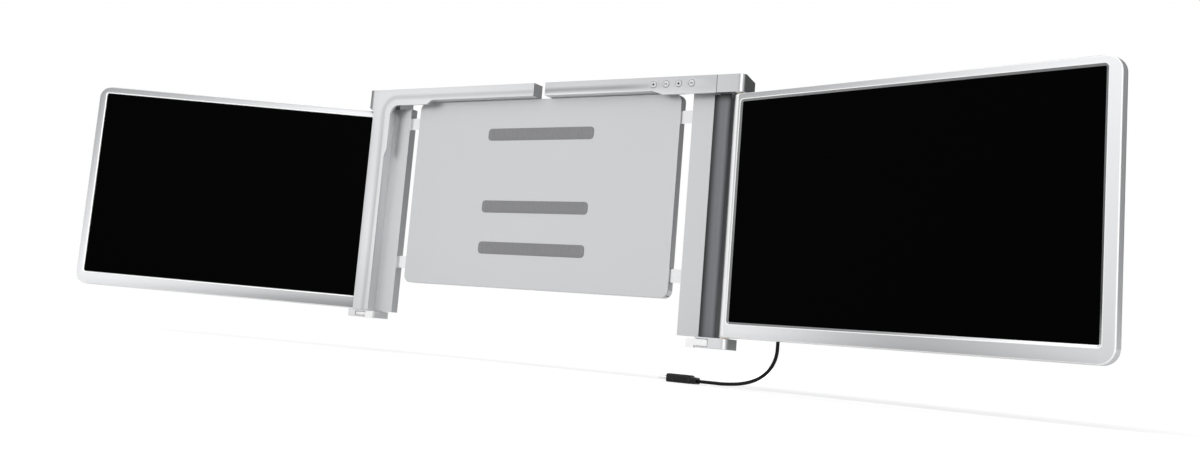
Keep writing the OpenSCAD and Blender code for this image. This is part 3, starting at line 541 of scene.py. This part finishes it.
trimFinishes = {
    # lip and roll: painted highlights, near-white
    "lip": satinFinish("paintedHighlightLip", colour=(0.93, 0.93, 0.93), metallic=0.2, rough=0.2, tone=0.0),
    "wall": satinFinish("sideWall", colour=(0.52, 0.53, 0.54), metallic=0.45, rough=0.34),
    "roll": satinFinish("paintedHighlightRoll", colour=(0.94, 0.94, 0.94), metallic=0.0, rough=0.3, tone=0.0),
}
# painted light and shade on the bezel faces: tones at the left and right ends, along the bottom and along the
# top
paintedFaceLight = {
    "left": {"x": (-0.385, -0.170), "z": (-0.092, 0.084), "low": (1.20, 0.50), "high": (0.52, 0.94)},
    "right": {"x": (0.180, 0.440), "z": (-0.092, 0.084), "low": (1.22, 0.95), "high": (0.66, 1.28),
              "paintedShadeDip": 0.42},
}
# painted highlight and shade on the bevels round the glass, in the same layout
paintedBevelLight = {
    "left": {"x": (-0.385, -0.300), "z": (-0.085, -0.040), "low": (0.62, 1.25), "high": (1.25, 1.25)},
    "right": {"x": (0.250, 0.400), "z": (-0.080, -0.060), "low": (0.40, 1.25), "high": (0.38, 0.32)},
}


def rimLoop(w, h, k, shape, turn):
    # k-th loop from the flat face out to the side wall; the hinge edge rolls over, the rest is eased
    t = math.radians(90 * k / shape["rimSteps"])
    roll, ease = shape["roll"], shape["edge"]
    rollIn, rollDeep = roll * (1 - math.sin(t)), roll * (1 - math.cos(t))
    easeIn, easeDeep = ease * (1 - math.sin(t)), ease * (1 - math.cos(t))
    near, far = max(shape["cornerHinge"] - easeIn, shape["leastRound"]), shape["cornerFree"] - easeIn
    fade = shape["rollFade"]
    loop = []
    for x, z in cornerLoop(rollIn, w - easeIn, easeIn, h - easeIn, (near, far, far, near)):
        hinge = max(0.0, min(1.0, (roll + fade - x) / fade))      # 1 on the rolled edge, 0 past it
        loop.append((turn @ Vector((x, easeDeep + (rollDeep - easeDeep) * hinge, z))) * mm)
    return loop


def makeBezel(sideName, shape):
    side = sides[sideName]
    turn = housingFrame(side)
    w, h = housingSize(side, shape)
    x0, x1 = shape["bezelHinge"], shape["bezelHinge"] + shape["screenW"]
    z0, z1 = shape["bezelBottom"], shape["bezelBottom"] + shape["screenH"]

    def window(grow, y, r):
        return placed(cornerLoop(x0 - grow, x1 + grow, z0 - grow, z1 + grow, (r,) * 4), y, turn)

    bevel, lip, small, gap = side["bevel"], side["lip"], shape["glassRound"], shape["glassGap"]
    # behind the glass, the bevel, its lip, the face, the rim, the side wall
    loops = [window(gap, shape["bezelDeep"], small), window(gap, shape["gapDeep"], small),
             window(0, shape["glassDeep"], small)]
    parts = ["wall", "wall", "bevel"]
    loops += [window(bevel - lip * inner, y, small + bevel * share) for inner, y, share in shape["lipSteps"]]
    parts += ["lip", "lip", "face"]
    for k in range(shape["rimSteps"] + 1):
        loops.append(rimLoop(w, h, k, shape, turn))
        parts.append("rim" if k < shape["rimSteps"] - 1 else "wall")
    near, far = shape["cornerHinge"], shape["cornerFree"]
    loops.append(placed(cornerLoop(0, w, 0, h, (near, far, far, near)), shape["bezelDeep"], turn))
    parts.append("wall")
    verts, faces = bridge(loops, close=True)
    bezel = dress(meshObject(sideName + "Bezel", verts, faces, shape["sharp"]), sideName + "_bezel")
    bezel.data.materials.clear()
    dressed = {
        # face and bevel take painted light and shade
        "face": satinFinish(sideName + "BezelFace", corners=paintedFaceLight[sideName]),
        "bevel": satinFinish(sideName + "Bevel", rough=0.22, tone=0.0, corners=paintedBevelLight[sideName]),
        **trimFinishes,
    }
    order = list(dressed)
    for finish in dressed.values():
        bezel.data.materials.append(finish)
    count, half = len(loops[0]), cornerSteps // 2
    for face in bezel.data.polygons:
        ring, step = divmod(face.index, count)
        part = parts[ring]
        if part == "rim":        # painted highlight, pale from the middle of one hinge corner to the middle of the other
            part = "roll" if step >= count - half - 1 or step < half else "lip"
        face.material_index = order.index(part)


def makeBack(sideName, shape):
    side = sides[sideName]
    turn = housingFrame(side)
    w, h = housingSize(side, shape)
    ease, steps = shape["backEdge"], shape["backSteps"]
    stations = [(inset, shape["bezelDeep"] + y) for inset, y in shape["seam"]]
    for i in range(steps + 1):
        t = math.radians(90 * i / steps)
        stations.append((ease * (1 - math.cos(t)), shape["thick"] - ease + ease * math.sin(t)))
    loops = []
    for inset, y in stations:
        near, far = max(shape["cornerHinge"] - inset, shape["backLeast"]), shape["cornerFree"] - inset
        loops.append(placed(cornerLoop(inset, w - inset, inset, h - inset, (near, far, far, near)), y, turn))
    dress(meshObject(sideName + "Back", *capped(loops), shape["backSharp"]), sideName + "_back_cover")


for sideName in sides:
    makeBezel(sideName, screenShape)
    makeBack(sideName, screenShape)
    softCopy(sideName + "_hinge_spine", screenShape["spineEase"])
print("screens made")


class Tree:
    # a geometry sheet with named inputs; finish realizes the instances and sets the material
    def __init__(self, name, inputs):
        self.tree = bpy.data.node_groups.new(name, "GeometryNodeTree")
        self.tree.interface.new_socket("Geometry", in_out="INPUT", socket_type="NodeSocketGeometry")
        self.tree.interface.new_socket("Geometry", in_out="OUTPUT", socket_type="NodeSocketGeometry")
        self.names = {}
        for label, (kind, value) in inputs.items():
            socket = self.tree.interface.new_socket(label, in_out="INPUT", socket_type="NodeSocket" + kind)
            if value is not None:
                socket.default_value = value
            self.names[label] = socket.identifier
        self.given = self.tree.nodes.new("NodeGroupInput")
        self.made = self.tree.nodes.new("NodeGroupOutput")

    def input(self, label):
        return self.given.outputs[label]

    def add(self, kind, settings=None, sockets=None):
        node = self.tree.nodes.new(kind)
        for key, value in (settings or {}).items():
            setattr(node, key, value)
        for key, value in (sockets or {}).items():
            if isinstance(value, bpy.types.NodeSocket):
                self.tree.links.new(value, node.inputs[key])
            else:
                node.inputs[key].default_value = value
        return node

    def calc(self, operation, a, b=None, c=None):
        given = {i: v for i, v in enumerate((a, b, c)) if v is not None}
        return self.add("ShaderNodeMath", {"operation": operation}, given).outputs[0]

    def vector(self, **parts):
        return self.add("ShaderNodeCombineXYZ", None, parts).outputs[0]

    def move(self, geometry, **how):
        return self.add("GeometryNodeTransform", None, {"Geometry": geometry, **how}).outputs[0]

    def finish(self, geometry):
        solid = self.add("GeometryNodeRealizeInstances", None, {"Geometry": geometry})
        coated = self.add("GeometryNodeSetMaterial", None, {"Geometry": solid.outputs[0],
                                                            "Material": self.input("Finish")})
        self.tree.links.new(coated.outputs[0], self.made.inputs[0])


def runTree(piece, sheet, values):
    # inputs go in by identifier, before the first evaluation
    made = piece.modifiers.new("nodes", "NODES")
    made.node_group = sheet.tree
    for label, value in values.items():
        made[sheet.names[label]] = value
    keepResult(piece, made)


frameShape = {
    "front": -9.0, "skin": 2.0,        # front face, and how much of it is the grooved skin
    "top": 100.0, "seat": 89.4, "hook": 85.8, "bottom": -92.5,
    "railOut": -169.0, "railIn": -152.3, "armEnd": -3.3,
    "hookReach": 2.3, "hookLen": 36.0, "hookSide": 36.0, "jog": 5.0, "corner": 8.0, "cornerSteps": 12,
    "easing": 0.95, "easeSteps": 3, "easeAngle": 50.0, "sharp": 24.0,
    "grooveZ": 93.3, "grooveX": -158.0, "grooveTurn": 14.0, "turnSteps": 16,
    "grooveHalf": 3.3, "grooveDeep": 0.3, "maskPast": 0.5,
    "overrun": 8.0,                    # the groove's line runs this far past the frame's ends
    "fineCuts": 6, "coarseCut": 1.0,   # grid in half a groove, and spacing round its bend
}
buttonShape = {
    "first": 104.5, "pitch": 10.5, "z": 94.3, "radius": 2.42, "front": -9.6, "sides": 48, "sharp": 38,
    "crown": ((0.45, 0.0), (0.78, 0.03)),                  # share of the radius, depth
    "rim": ((0.35, 0.08), (0.12, 0.18), (0.0, 0.42)),      # inset from the radius, depth
    "flangeR": 3.25, "flange": (-6.45, -5.95), "hub": 0.5,
    "markHalf": 1.2, "markWide": 0.34, "markUp": 0.15, "markSunk": 0.02, "markTaper": 0.86,
    "markSharp": 30,
    "names": ("button_left_plus", "button_left_minus", "button_right_plus", "button_right_minus"),
}
rightArmShape = {
    "from": 7.3, "to": 156.2, "hookFrom": 104.2, "hookTo": 112.6, "hook": 86.4,
    "grooveTo": 132.0, "fade": (72.0, 128.0), "fadeCut": 2.0,
    "holeR": 2.73, "holeSides": 40, "drill": (-12, -4), "drillSharp": 30,
}
frontSlack = 0.0001      # metres: points this near the front face are on it


def grooveTree():
    # sinks every point near a bent line and leaves a mask with which the finish paints shade in the groove;
    # the fade along x starts too far out to show, unless a piece sets it
    sheet = Tree("grooveAlongLine", {
        "Deep": ("Float", 0.0005), "Half": ("Float", 0.0033), "Mask half": ("Float", 0.0035),
        "Front": ("Float", -0.009), "Fade start": ("Float", 1.0), "Fade end": ("Float", 2.0),
        "Line": ("Object", None), "Finish": ("Material", None),
    })
    line = sheet.add("GeometryNodeObjectInfo", None, {"Object": sheet.input("Line")})
    near = sheet.add("GeometryNodeProximity", {"target_element": "EDGES"},
                     {"Geometry": line.outputs["Geometry"]})
    away = near.outputs["Distance"]

    def bell(half):
        wide = sheet.calc("MINIMUM", sheet.calc("DIVIDE", away, half), 1.0)
        swing = sheet.calc("COSINE", sheet.calc("MULTIPLY", wide, math.pi))
        return sheet.calc("MULTIPLY_ADD", swing, 0.5, 0.5)

    spot = sheet.add("GeometryNodeInputPosition")
    split = sheet.add("ShaderNodeSeparateXYZ", None, {0: spot.outputs[0]})
    onFront = sheet.calc("LESS_THAN", split.outputs["Y"], sheet.calc("ADD", sheet.input("Front"), frontSlack))
    fade = sheet.add("ShaderNodeMapRange", {"interpolation_type": "SMOOTHSTEP"}, {
        "Value": split.outputs["X"], "To Min": 1.0, "To Max": 0.0,
        "From Min": sheet.input("Fade start"), "From Max": sheet.input("Fade end")})
    onFront = sheet.calc("MULTIPLY", onFront, fade.outputs[0])
    sink = sheet.calc("MULTIPLY", bell(sheet.input("Half")), onFront)
    sink = sheet.calc("MULTIPLY", sink, sheet.input("Deep"))
    mask = sheet.calc("MULTIPLY", bell(sheet.input("Mask half")), onFront)
    kept = sheet.add("GeometryNodeStoreNamedAttribute", {"data_type": "FLOAT", "domain": "POINT"},
                     {"Geometry": sheet.input("Geometry"), "Name": "groove", "Value": mask})
    moved = sheet.add("GeometryNodeSetPosition", None,
                      {"Geometry": kept.outputs[0], "Offset": sheet.vector(Y=sink)})
    sheet.finish(moved.outputs[0])
    return sheet


def skinMesh(name, outline, shape, cutsX, cutsZ):
    # outline pulled back by the skin's depth, its face cut into a grid near the groove
    work = bmesh.new()
    front, back = shape["front"] * mm, (shape["front"] + shape["skin"]) * mm
    near = [work.verts.new((x * mm, front, z * mm)) for x, z in outline]
    far = [work.verts.new((x * mm, back, z * mm)) for x, z in outline]
    work.faces.new(near)
    work.faces.new(far[::-1])
    for i in range(len(near)):
        k = (i + 1) % len(near)
        work.faces.new((near[i], far[i], far[k], near[k]))
    for place, axis in [(x, (1, 0, 0)) for x in cutsX] + [(z, (0, 0, 1)) for z in cutsZ]:
        spot = (place * mm, 0, 0) if axis[0] else (0, 0, place * mm)
        bmesh.ops.bisect_plane(work, geom=work.verts[:] + work.edges[:] + work.faces[:], dist=1e-6,
                               plane_co=spot, plane_no=axis)
    bmesh.ops.recalc_face_normals(work, faces=work.faces)
    mesh = bpy.data.meshes.new(name)
    work.to_mesh(mesh)
    work.free()
    return link(name, mesh)


def arcPoints(cx, cz, r, start, end, steps):
    return [(cx + r * math.cos(math.radians(start + (end - start) * i / steps)),
             cz + r * math.sin(math.radians(start + (end - start) * i / steps))) for i in range(steps + 1)]


def evenCuts(start, end, step):
    return [start + step * i for i in range(int(round((end - start) / step)) + 1)]


def backOf(node, cut):
    # the welded CAD piece without its front skin
    work = welded(node)
    bmesh.ops.bisect_plane(work, geom=work.verts[:] + work.edges[:] + work.faces[:], dist=1e-7,
                           plane_co=(0, cut * mm, 0), plane_no=(0, -1, 0), clear_outer=True)
    rims = [e for e in work.edges if e.is_boundary]
    bmesh.ops.holes_fill(work, edges=rims)
    dissolveFlat(work)
    bmesh.ops.recalc_face_normals(work, faces=work.faces)
    return work


def sinkGroove(skin, shape, path, finish, fade):
    mesh = bpy.data.meshes.new("grooveLine")
    mesh.from_pydata([(x * mm, shape["front"] * mm, z * mm) for x, z in path],
                     [(i, i + 1) for i in range(len(path) - 1)], [])
    line = link("grooveLine", mesh)
    half = shape["grooveHalf"]
    runTree(skin, groove, {"Deep": shape["grooveDeep"] * mm, "Half": half * mm,
                           "Mask half": (half + shape["maskPast"]) * mm, "Front": shape["front"] * mm,
                           "Line": line, "Finish": finish, **fade})
    bpy.data.objects.remove(line)


def joinSkin(skin, node, shape):
    # eased skin and the rest of the CAD piece in one mesh
    skin.data.materials.append(trimFinishes["lip"])
    ease = addEase(skin, shape["easing"], shape["easeSteps"], shape["easeAngle"])
    ease.material = 1        # the slot painted near-white as a highlight
    keepResult(skin, ease)
    work = backOf(node, shape["front"] + shape["skin"])
    rest = bpy.data.meshes.new(node + "_rest")
    work.to_mesh(rest)
    work.free()
    both = bmesh.new()
    both.from_mesh(skin.data)
    both.from_mesh(rest)
    both.to_mesh(skin.data)
    both.free()
    bpy.data.meshes.remove(rest)
    shadeSmooth(skin.data, shape["sharp"])
    rims = [face.material_index for face in skin.data.polygons]
    dress(skin, node)
    skin.data.materials.append(trimFinishes["lip"])
    skin.data.polygons.foreach_set("material_index", rims)


groove = grooveTree()


def makeLeftFrame(shape):
    inX = shape["railIn"] + shape["hookReach"]
    r = shape["corner"]
    outline = [(shape["railOut"], shape["bottom"]), (shape["railIn"], shape["bottom"]),
               (shape["railIn"], shape["hook"] - r - shape["hookSide"]),
               (inX, shape["hook"] - r - shape["hookSide"] + shape["jog"])]
    outline += arcPoints(inX + r, shape["hook"] - r, r, 180, 90, shape["cornerSteps"])
    tip = inX + r + shape["hookLen"]
    outline += [(tip - shape["jog"], shape["hook"]), (tip, shape["seat"]), (shape["armEnd"], shape["seat"]),
                (shape["armEnd"], shape["top"]), (shape["railOut"], shape["top"])]
    gx, gz, turn, half = (shape[k] for k in ("grooveX", "grooveZ", "grooveTurn", "grooveHalf"))
    path = [(shape["armEnd"] + shape["overrun"], gz)]
    path += arcPoints(gx + turn, gz - turn, turn, 90, 180, shape["turnSteps"])
    path.append((gx, shape["bottom"] - shape["overrun"]))
    fine, wide = half / shape["fineCuts"], shape["coarseCut"]
    cutsX = evenCuts(gx - half, gx + half, fine) + evenCuts(gx + half + wide, gx + turn + 2 * wide, wide)
    cutsZ = evenCuts(gz - half, gz + half, fine) + evenCuts(gz - turn - 2 * wide, gz - half - wide, wide)
    skin = skinMesh("leftFrameSkin", outline, shape, cutsX, cutsZ)
    sinkGroove(skin, shape, path, finishes["frame_silver"], {})
    joinSkin(skin, "left_front_frame", shape)


makeLeftFrame(frameShape)
print("left frame made")


def makeRightArm(shape, arm, button):
    outline = [(arm["from"], shape["seat"]), (arm["hookFrom"], shape["seat"]), (arm["hookTo"], arm["hook"]),
               (arm["to"], arm["hook"]), (arm["to"], shape["top"]), (arm["from"], shape["top"])]
    gz, half = shape["grooveZ"], shape["grooveHalf"]
    start, end = arm["fade"]
    skin = skinMesh("rightArmSkin", outline, shape, evenCuts(start, end, arm["fadeCut"]),
                    evenCuts(gz - half, gz + half, half / shape["fineCuts"]))
    sinkGroove(skin, shape, [(arm["from"] - shape["overrun"], gz), (arm["grooveTo"], gz)],
               finishes["arm_silver"], {"Fade start": start * mm, "Fade end": end * mm})
    for i in range(len(button["names"])):
        x = button["first"] + i * button["pitch"]
        rings = [ringAt(x, button["z"], arm["holeR"], y, arm["holeSides"]) for y in arm["drill"]]
        drill = meshObject("drill", *capped(rings), arm["drillSharp"])
        cut = skin.modifiers.new("hole", "BOOLEAN")
        cut.object, cut.operation, cut.solver = drill, "DIFFERENCE", "EXACT"
        keepResult(skin, cut)
        bpy.data.objects.remove(drill)
    joinSkin(skin, "right_arm_front", shape)


makeRightArm(frameShape, rightArmShape, buttonShape)
print("right arm made")

screwShape = {
    "headTall": 0.8, "taper": 0.86, "headSides": 32, "shankSides": 20, "sharp": 30,
    "overlap": 0.1,              # share of the head that the shank reaches into
    "recess": 0.5,               # depth as a share of the head
    "floors": (1.0, 0.94),       # of the two crossed cuts, a hair apart so that they stay clean
    "enlarge": 1000,             # the recess is cut at this many times the size, for exact edges
    "edge": 18, "draw": 4, "up": 5, "sunk": 0.1,     # where they sit in the back of a screen
}
screwRows = {
    # node: head radius, shank radius, shank length, recess length and width
    "panel_screws": (2.0, 1.0, 5.2, 2.4, 0.5),
    "left_frame_screws": (2.0, 1.0, 5.6, 2.4, 0.5),
    "right_frame_screws": (2.0, 1.0, 5.6, 2.4, 0.5),
    "left_screen_screws": (1.8, 0.75, 5.2, 2.0, 0.45),
    "right_screen_screws": (1.8, 0.75, 5.2, 2.0, 0.45),
}
screwSpots = {       # outer middles of the heads; those of the screens are worked out below
    "panel_screws": [(x, 8.7, z) for x in (-118, 118) for z in (81, -60, 30, -20)],
    "left_frame_screws": [(-143, 8.7, z) for z in (-74.8, 5, 80)],
    "right_frame_screws": [(143, 8.7, z) for z in (-74.8, 5, 80)],
}


def screwTree(shape):
    sheet = Tree("screwOnPoints", {
        "Head radius": ("Float", 0.002), "Head height": ("Float", shape["headTall"] * mm),
        "Shank radius": ("Float", 0.001), "Shank length": ("Float", 0.005),
        "Recess length": ("Float", 0.0024), "Recess width": ("Float", 0.0005), "Turn": ("Float", 0.0),
        "Finish": ("Material", None),
    })
    head, tall, long = (sheet.input(k) for k in ("Head radius", "Head height", "Shank length"))
    cone = sheet.add("GeometryNodeMeshCone", None, {
        "Vertices": shape["headSides"], "Radius Top": sheet.calc("MULTIPLY", head, shape["taper"]),
        "Radius Bottom": head, "Depth": tall})
    large = (shape["enlarge"],) * 3
    solid = sheet.move(cone.outputs["Mesh"], Scale=large)
    for order, share in zip(("XY", "YX"), shape["floors"]):
        size = sheet.vector(**{order[0]: sheet.input("Recess length"), order[1]: sheet.input("Recess width"),
                               "Z": sheet.calc("MULTIPLY", tall, 2 * shape["recess"] * share)})
        bar = sheet.add("GeometryNodeMeshCube", None, {"Size": size}).outputs["Mesh"]
        bar = sheet.move(bar, Translation=sheet.vector(Z=tall))
        solid = sheet.add("GeometryNodeMeshBoolean", {"operation": "DIFFERENCE"}, {
            "Mesh 1": solid, "Mesh 2": sheet.move(bar, Scale=large)}).outputs[0]
    solid = sheet.move(solid, Scale=(1 / shape["enlarge"],) * 3)
    shank = sheet.add("GeometryNodeMeshCylinder", None, {
        "Vertices": shape["shankSides"], "Radius": sheet.input("Shank radius"), "Depth": long})
    reach = sheet.calc("MULTIPLY", tall, shape["overlap"])
    low = sheet.calc("SUBTRACT", reach, sheet.calc("MULTIPLY", long, 0.5))
    stem = sheet.move(shank.outputs["Mesh"], Translation=sheet.vector(Z=low))
    both = sheet.add("GeometryNodeJoinGeometry")
    for part in (solid, stem):
        sheet.tree.links.new(part, both.inputs[0])
    # heads face the back, with their outer faces on the points
    lowered = sheet.move(both.outputs[0], Translation=sheet.vector(Z=sheet.calc("MULTIPLY", tall, -1.0)))
    laid = sheet.move(lowered, Rotation=(-math.pi / 2, 0, 0))
    spread = sheet.add("GeometryNodeInstanceOnPoints", None, {
        "Points": sheet.input("Geometry"), "Instance": laid, "Rotation": sheet.vector(Z=sheet.input("Turn"))})
    sheet.finish(spread.outputs[0])
    return sheet


def pointHost(name, spots):
    mesh = bpy.data.meshes.new(name)
    mesh.from_pydata([tuple(Vector(p) * mm) for p in spots], [], [])
    return link(name, mesh)


for sideName, side in sides.items():
    wide, edge, draw = housingSize(side, screenShape)[0], screwShape["edge"], screwShape["draw"]
    screwSpots[sideName + "_screen_screws"] = [
        housingFrame(side) @ Vector((x, screenShape["thick"] - screwShape["sunk"], screwShape["up"]))
        for x in (edge, wide / 3 + draw, 2 * wide / 3 - draw, wide - edge)]
screws = screwTree(screwShape)
for nodeName, (headR, shankR, shankLong, recessLong, recessWide) in screwRows.items():
    host = pointHost(nodeName + "_set", screwSpots[nodeName])
    side = sides.get(nodeName.split("_")[0]) if "screen" in nodeName else None
    runTree(host, screws, {
        "Head radius": headR * mm, "Head height": screwShape["headTall"] * mm, "Shank radius": shankR * mm,
        "Shank length": shankLong * mm, "Recess length": recessLong * mm, "Recess width": recessWide * mm,
        "Turn": math.radians(side["turn"]) if side else 0.0, "Finish": finishes[slotOf[nodeName]]})
    shadeSmooth(host.data, screwShape["sharp"])
    dress(host, nodeName)
print("screws made:", sum(len(s) for s in screwSpots.values()))

# soft slabs with fine upright ribs on their faces
padShape = {
    "half": 50.0, "tall": 10.0, "heights": (-34.0, 0.0, 60.0), "thick": 0.8, "round": 3.0,
    "sunk": 0.25, "rim": ((0.25, 0.0), (0.0, 0.2)),      # slab's face below the ribs; inset and depth from it
    "ribPitch": 2.4, "ribs": 39, "ribR": 0.55, "ribLong": 7.6, "ribSides": 12, "flatten": 0.5, "sharp": 35,
}


def ribTree(ribSides):
    sheet = Tree("ribsOnPad", {"Rib radius": ("Float", 0.0005), "Rib length": ("Float", 0.008),
                               "Flatten": ("Float", 0.5), "Finish": ("Material", None)})
    rod = sheet.add("GeometryNodeMeshCylinder", None, {
        "Vertices": ribSides, "Radius": sheet.input("Rib radius"), "Depth": sheet.input("Rib length")})
    rib = sheet.move(rod.outputs["Mesh"], Scale=sheet.vector(X=1.0, Y=sheet.input("Flatten"), Z=1.0))
    spread = sheet.add("GeometryNodeInstanceOnPoints", None,
                       {"Points": sheet.input("Geometry"), "Instance": rib})
    sheet.finish(spread.outputs[0])
    return sheet


def makePads(shape):
    spots = [((i - (shape["ribs"] - 1) / 2) * shape["ribPitch"], shape["ribR"] * shape["flatten"], z)
             for z in shape["heights"] for i in range(shape["ribs"])]
    host = pointHost("lidPads", spots)
    runTree(host, ribTree(shape["ribSides"]), {
        "Rib radius": shape["ribR"] * mm, "Rib length": shape["ribLong"] * mm, "Flatten": shape["flatten"],
        "Finish": finishes["pad_grey"]})
    stations = [(inset, shape["sunk"] + y) for inset, y in shape["rim"]] + [(0.0, shape["thick"])]
    work = bmesh.new()
    work.from_mesh(host.data)
    for z in shape["heights"]:
        loops = []
        for inset, y in stations:
            wide, tall, r = shape["half"] - inset, shape["tall"] / 2 - inset, shape["round"] - inset
            outline = cornerLoop(-wide, wide, z - tall, z + tall, (r,) * 4)
            loops.append([Vector((x, y, h)) * mm for x, h in outline])
        verts, faces = capped(loops)
        made = [work.verts.new(v) for v in verts]
        for face in faces:
            work.faces.new([made[i] for i in face])
    bmesh.ops.recalc_face_normals(work, faces=work.faces)
    work.to_mesh(host.data)
    work.free()
    shadeSmooth(host.data, shape["sharp"])
    dress(host, "lid_pads")


makePads(padShape)
print("lid pads made")

easedPieces = {
    "left_rear_shell": 0.5, "left_hinge_block": 0.6, "left_foot_block": 0.5, "left_clip": 0.3,
    "right_arm_rear": 0.2, "right_corner_cap": 0.35, "right_spine_cover": 0.25,
    "right_rear_shell": 0.5, "right_bracket": 0.35, "right_clip": 0.3, "panel_front_plate": 0.4,
    "panel_rear_cover": 0.4, "kickstand": 0.3, "kickstand_foot": 0.25, "cable_gland": 0.3,
}
for nodeName, width in easedPieces.items():
    softCopy(nodeName, width)
print("frame pieces eased:", len(easedPieces))


def makeButton(index, shape):
    node, cx, cz = shape["names"][index], shape["first"] + index * shape["pitch"], shape["z"]
    r, front, (near, far) = shape["radius"], shape["front"], shape["flange"]
    # radius and depth, from the crowned face round to the flange
    profile = [(r * share, front + y) for share, y in shape["crown"]]
    profile += [(r - inset, front + y) for inset, y in shape["rim"]]
    profile += [(r, near), (shape["flangeR"], near), (shape["flangeR"], far), (r * shape["hub"], far)]
    loops = [ringAt(cx, cz, a, y, shape["sides"]) for a, y in profile]
    dress(meshObject("buttonCap" + str(index), *capped(loops), shape["sharp"]), node)
    bars = [(shape["markHalf"], shape["markWide"])]
    if "plus" in node:
        bars.append((shape["markWide"], shape["markHalf"]))
    ends = ((front + shape["markSunk"], 1.0), (front - shape["markUp"], shape["markTaper"]))
    markVerts, markFaces = [], []
    for a, b in bars:
        start = len(markVerts)
        verts, faces = capped([[Vector((cx + sx * a * k, y, cz + sz * b * k)) * mm
                                for sx, sz in ((-1, -1), (1, -1), (1, 1), (-1, 1))] for y, k in ends])
        markVerts += verts
        markFaces += [tuple(start + i for i in face) for face in faces]
    mark = meshObject("buttonMark" + str(index), markVerts, markFaces, shape["markSharp"])
    mark.data.materials.append(markFinish)
    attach(mark, bodyOf[node])


for i in range(len(buttonShape["names"])):
    makeButton(i, buttonShape)
print("buttons made")

studio = {
    "floor": -0.1262, "floorSize": 60.0, "floorColour": (0.80, 0.80, 0.80),
    "floorGlow": 0.38, "fade": (0.45, 1.0),      # between these distances the floor turns plain white
    "sky": 0.85, "mirrorSky": 1.0,
    "patches": (
        # direction, cosine where it begins, cosine where it is full, how much it adds
        ((-0.78, 0.60, 0.10), 0.85, 0.97, -0.60),    # black card behind on the left
        ((0.58, -0.81, 0.18), 0.940, 0.985, 2.00),   # strip in front on the right
        ((-0.60, -0.78, 0.13), 0.90, 0.99, 0.36),    # window behind the camera
        ((0.56, 0.83, 0.00), 0.25, 0.80, -0.84),     # black card behind on the right
    ),
    "lamps": (
        # name, spot, aimed at, width, height, watts
        ("keyLamp", (-0.3, -1.6, 2.0), (0.0, 0.0, 0.0), 2.0, 1.2, 12.0),
        ("topLamp", (0.0, 0.3, 1.6), (0.0, 0.0, 0.0), 2.0, 0.6, 2.0),
        ("backLamp", (-1.1, 1.7, 0.9), (0.0, 0.0, 0.0), 1.6, 1.0, 3.0),
    ),
}


def makeStudio(plan):
    material, sheet, place = newFinish("floorPaper")
    ray = sheet.add("ShaderNodeLightPath", None, None, "Is Camera Ray")
    seen = ray + ray.other("Is Glossy Ray") + ray.other("Is Transmission Ray")
    away = sheet.add("ShaderNodeVectorMath", {"operation": "LENGTH"}, {0: place}, "Value")
    paper = sheet.add("ShaderNodeBsdfDiffuse", None, {"Color": plan["floorColour"]})
    glow = sheet.add("ShaderNodeEmission", None, {
        "Color": (1.0, 1.0, 1.0), "Strength": seen * away.smooth(*plan["fade"], plan["floorGlow"], 1.0)})
    endSheet(sheet, sheet.add("ShaderNodeAddShader", None, {0: paper, 1: glow}))
    half, down = plan["floorSize"] / 2, plan["floor"]
    mesh = bpy.data.meshes.new("floorSheet")
    mesh.from_pydata([(-half, -half, down), (half, -half, down), (half, half, down), (-half, half, down)],
                     [], [(0, 1, 2, 3)])
    mesh.materials.append(material)
    floor = link("floorSheet", mesh)
    world = scene.world = bpy.data.worlds.new("studioWorld")
    world.use_nodes = True
    world.node_tree.nodes.clear()
    sheet = Wire(world.node_tree)
    # a plain sky with soft patches; the camera itself sees plain white
    facing = sheet.add("ShaderNodeTexCoord", None, None, "Generated")
    ray = sheet.add("ShaderNodeLightPath", None, None, "Is Camera Ray")
    strength = plan["sky"] + ray.other("Is Glossy Ray") * (plan["mirrorSky"] - plan["sky"])
    for toward, begin, full, amount in plan["patches"]:
        lean = sheet.add("ShaderNodeVectorMath", {"operation": "DOT_PRODUCT"},
                         {0: facing, 1: tuple(Vector(toward).normalized())}, "Value")
        strength = strength + lean.smooth(begin, full, 0.0, amount)
    seen = ray + ray.other("Is Transmission Ray")
    strength = strength * (1 - seen) + seen
    sky = sheet.add("ShaderNodeBackground", None, {"Color": (1.0, 1.0, 1.0), "Strength": strength})
    endSheet(sheet, sky, "ShaderNodeOutputWorld")
    for name, spot, aim, wide, tall, watts in plan["lamps"]:
        light = bpy.data.lights.new(name, "AREA")
        light.shape, light.size, light.size_y, light.energy = "RECTANGLE", wide, tall, watts
        lamp = link(name, light)
        lamp.location = spot
        lamp.rotation_euler = (Vector(aim) - Vector(spot)).to_track_quat("-Z", "Y").to_euler()


makeStudio(studio)
print("studio made")
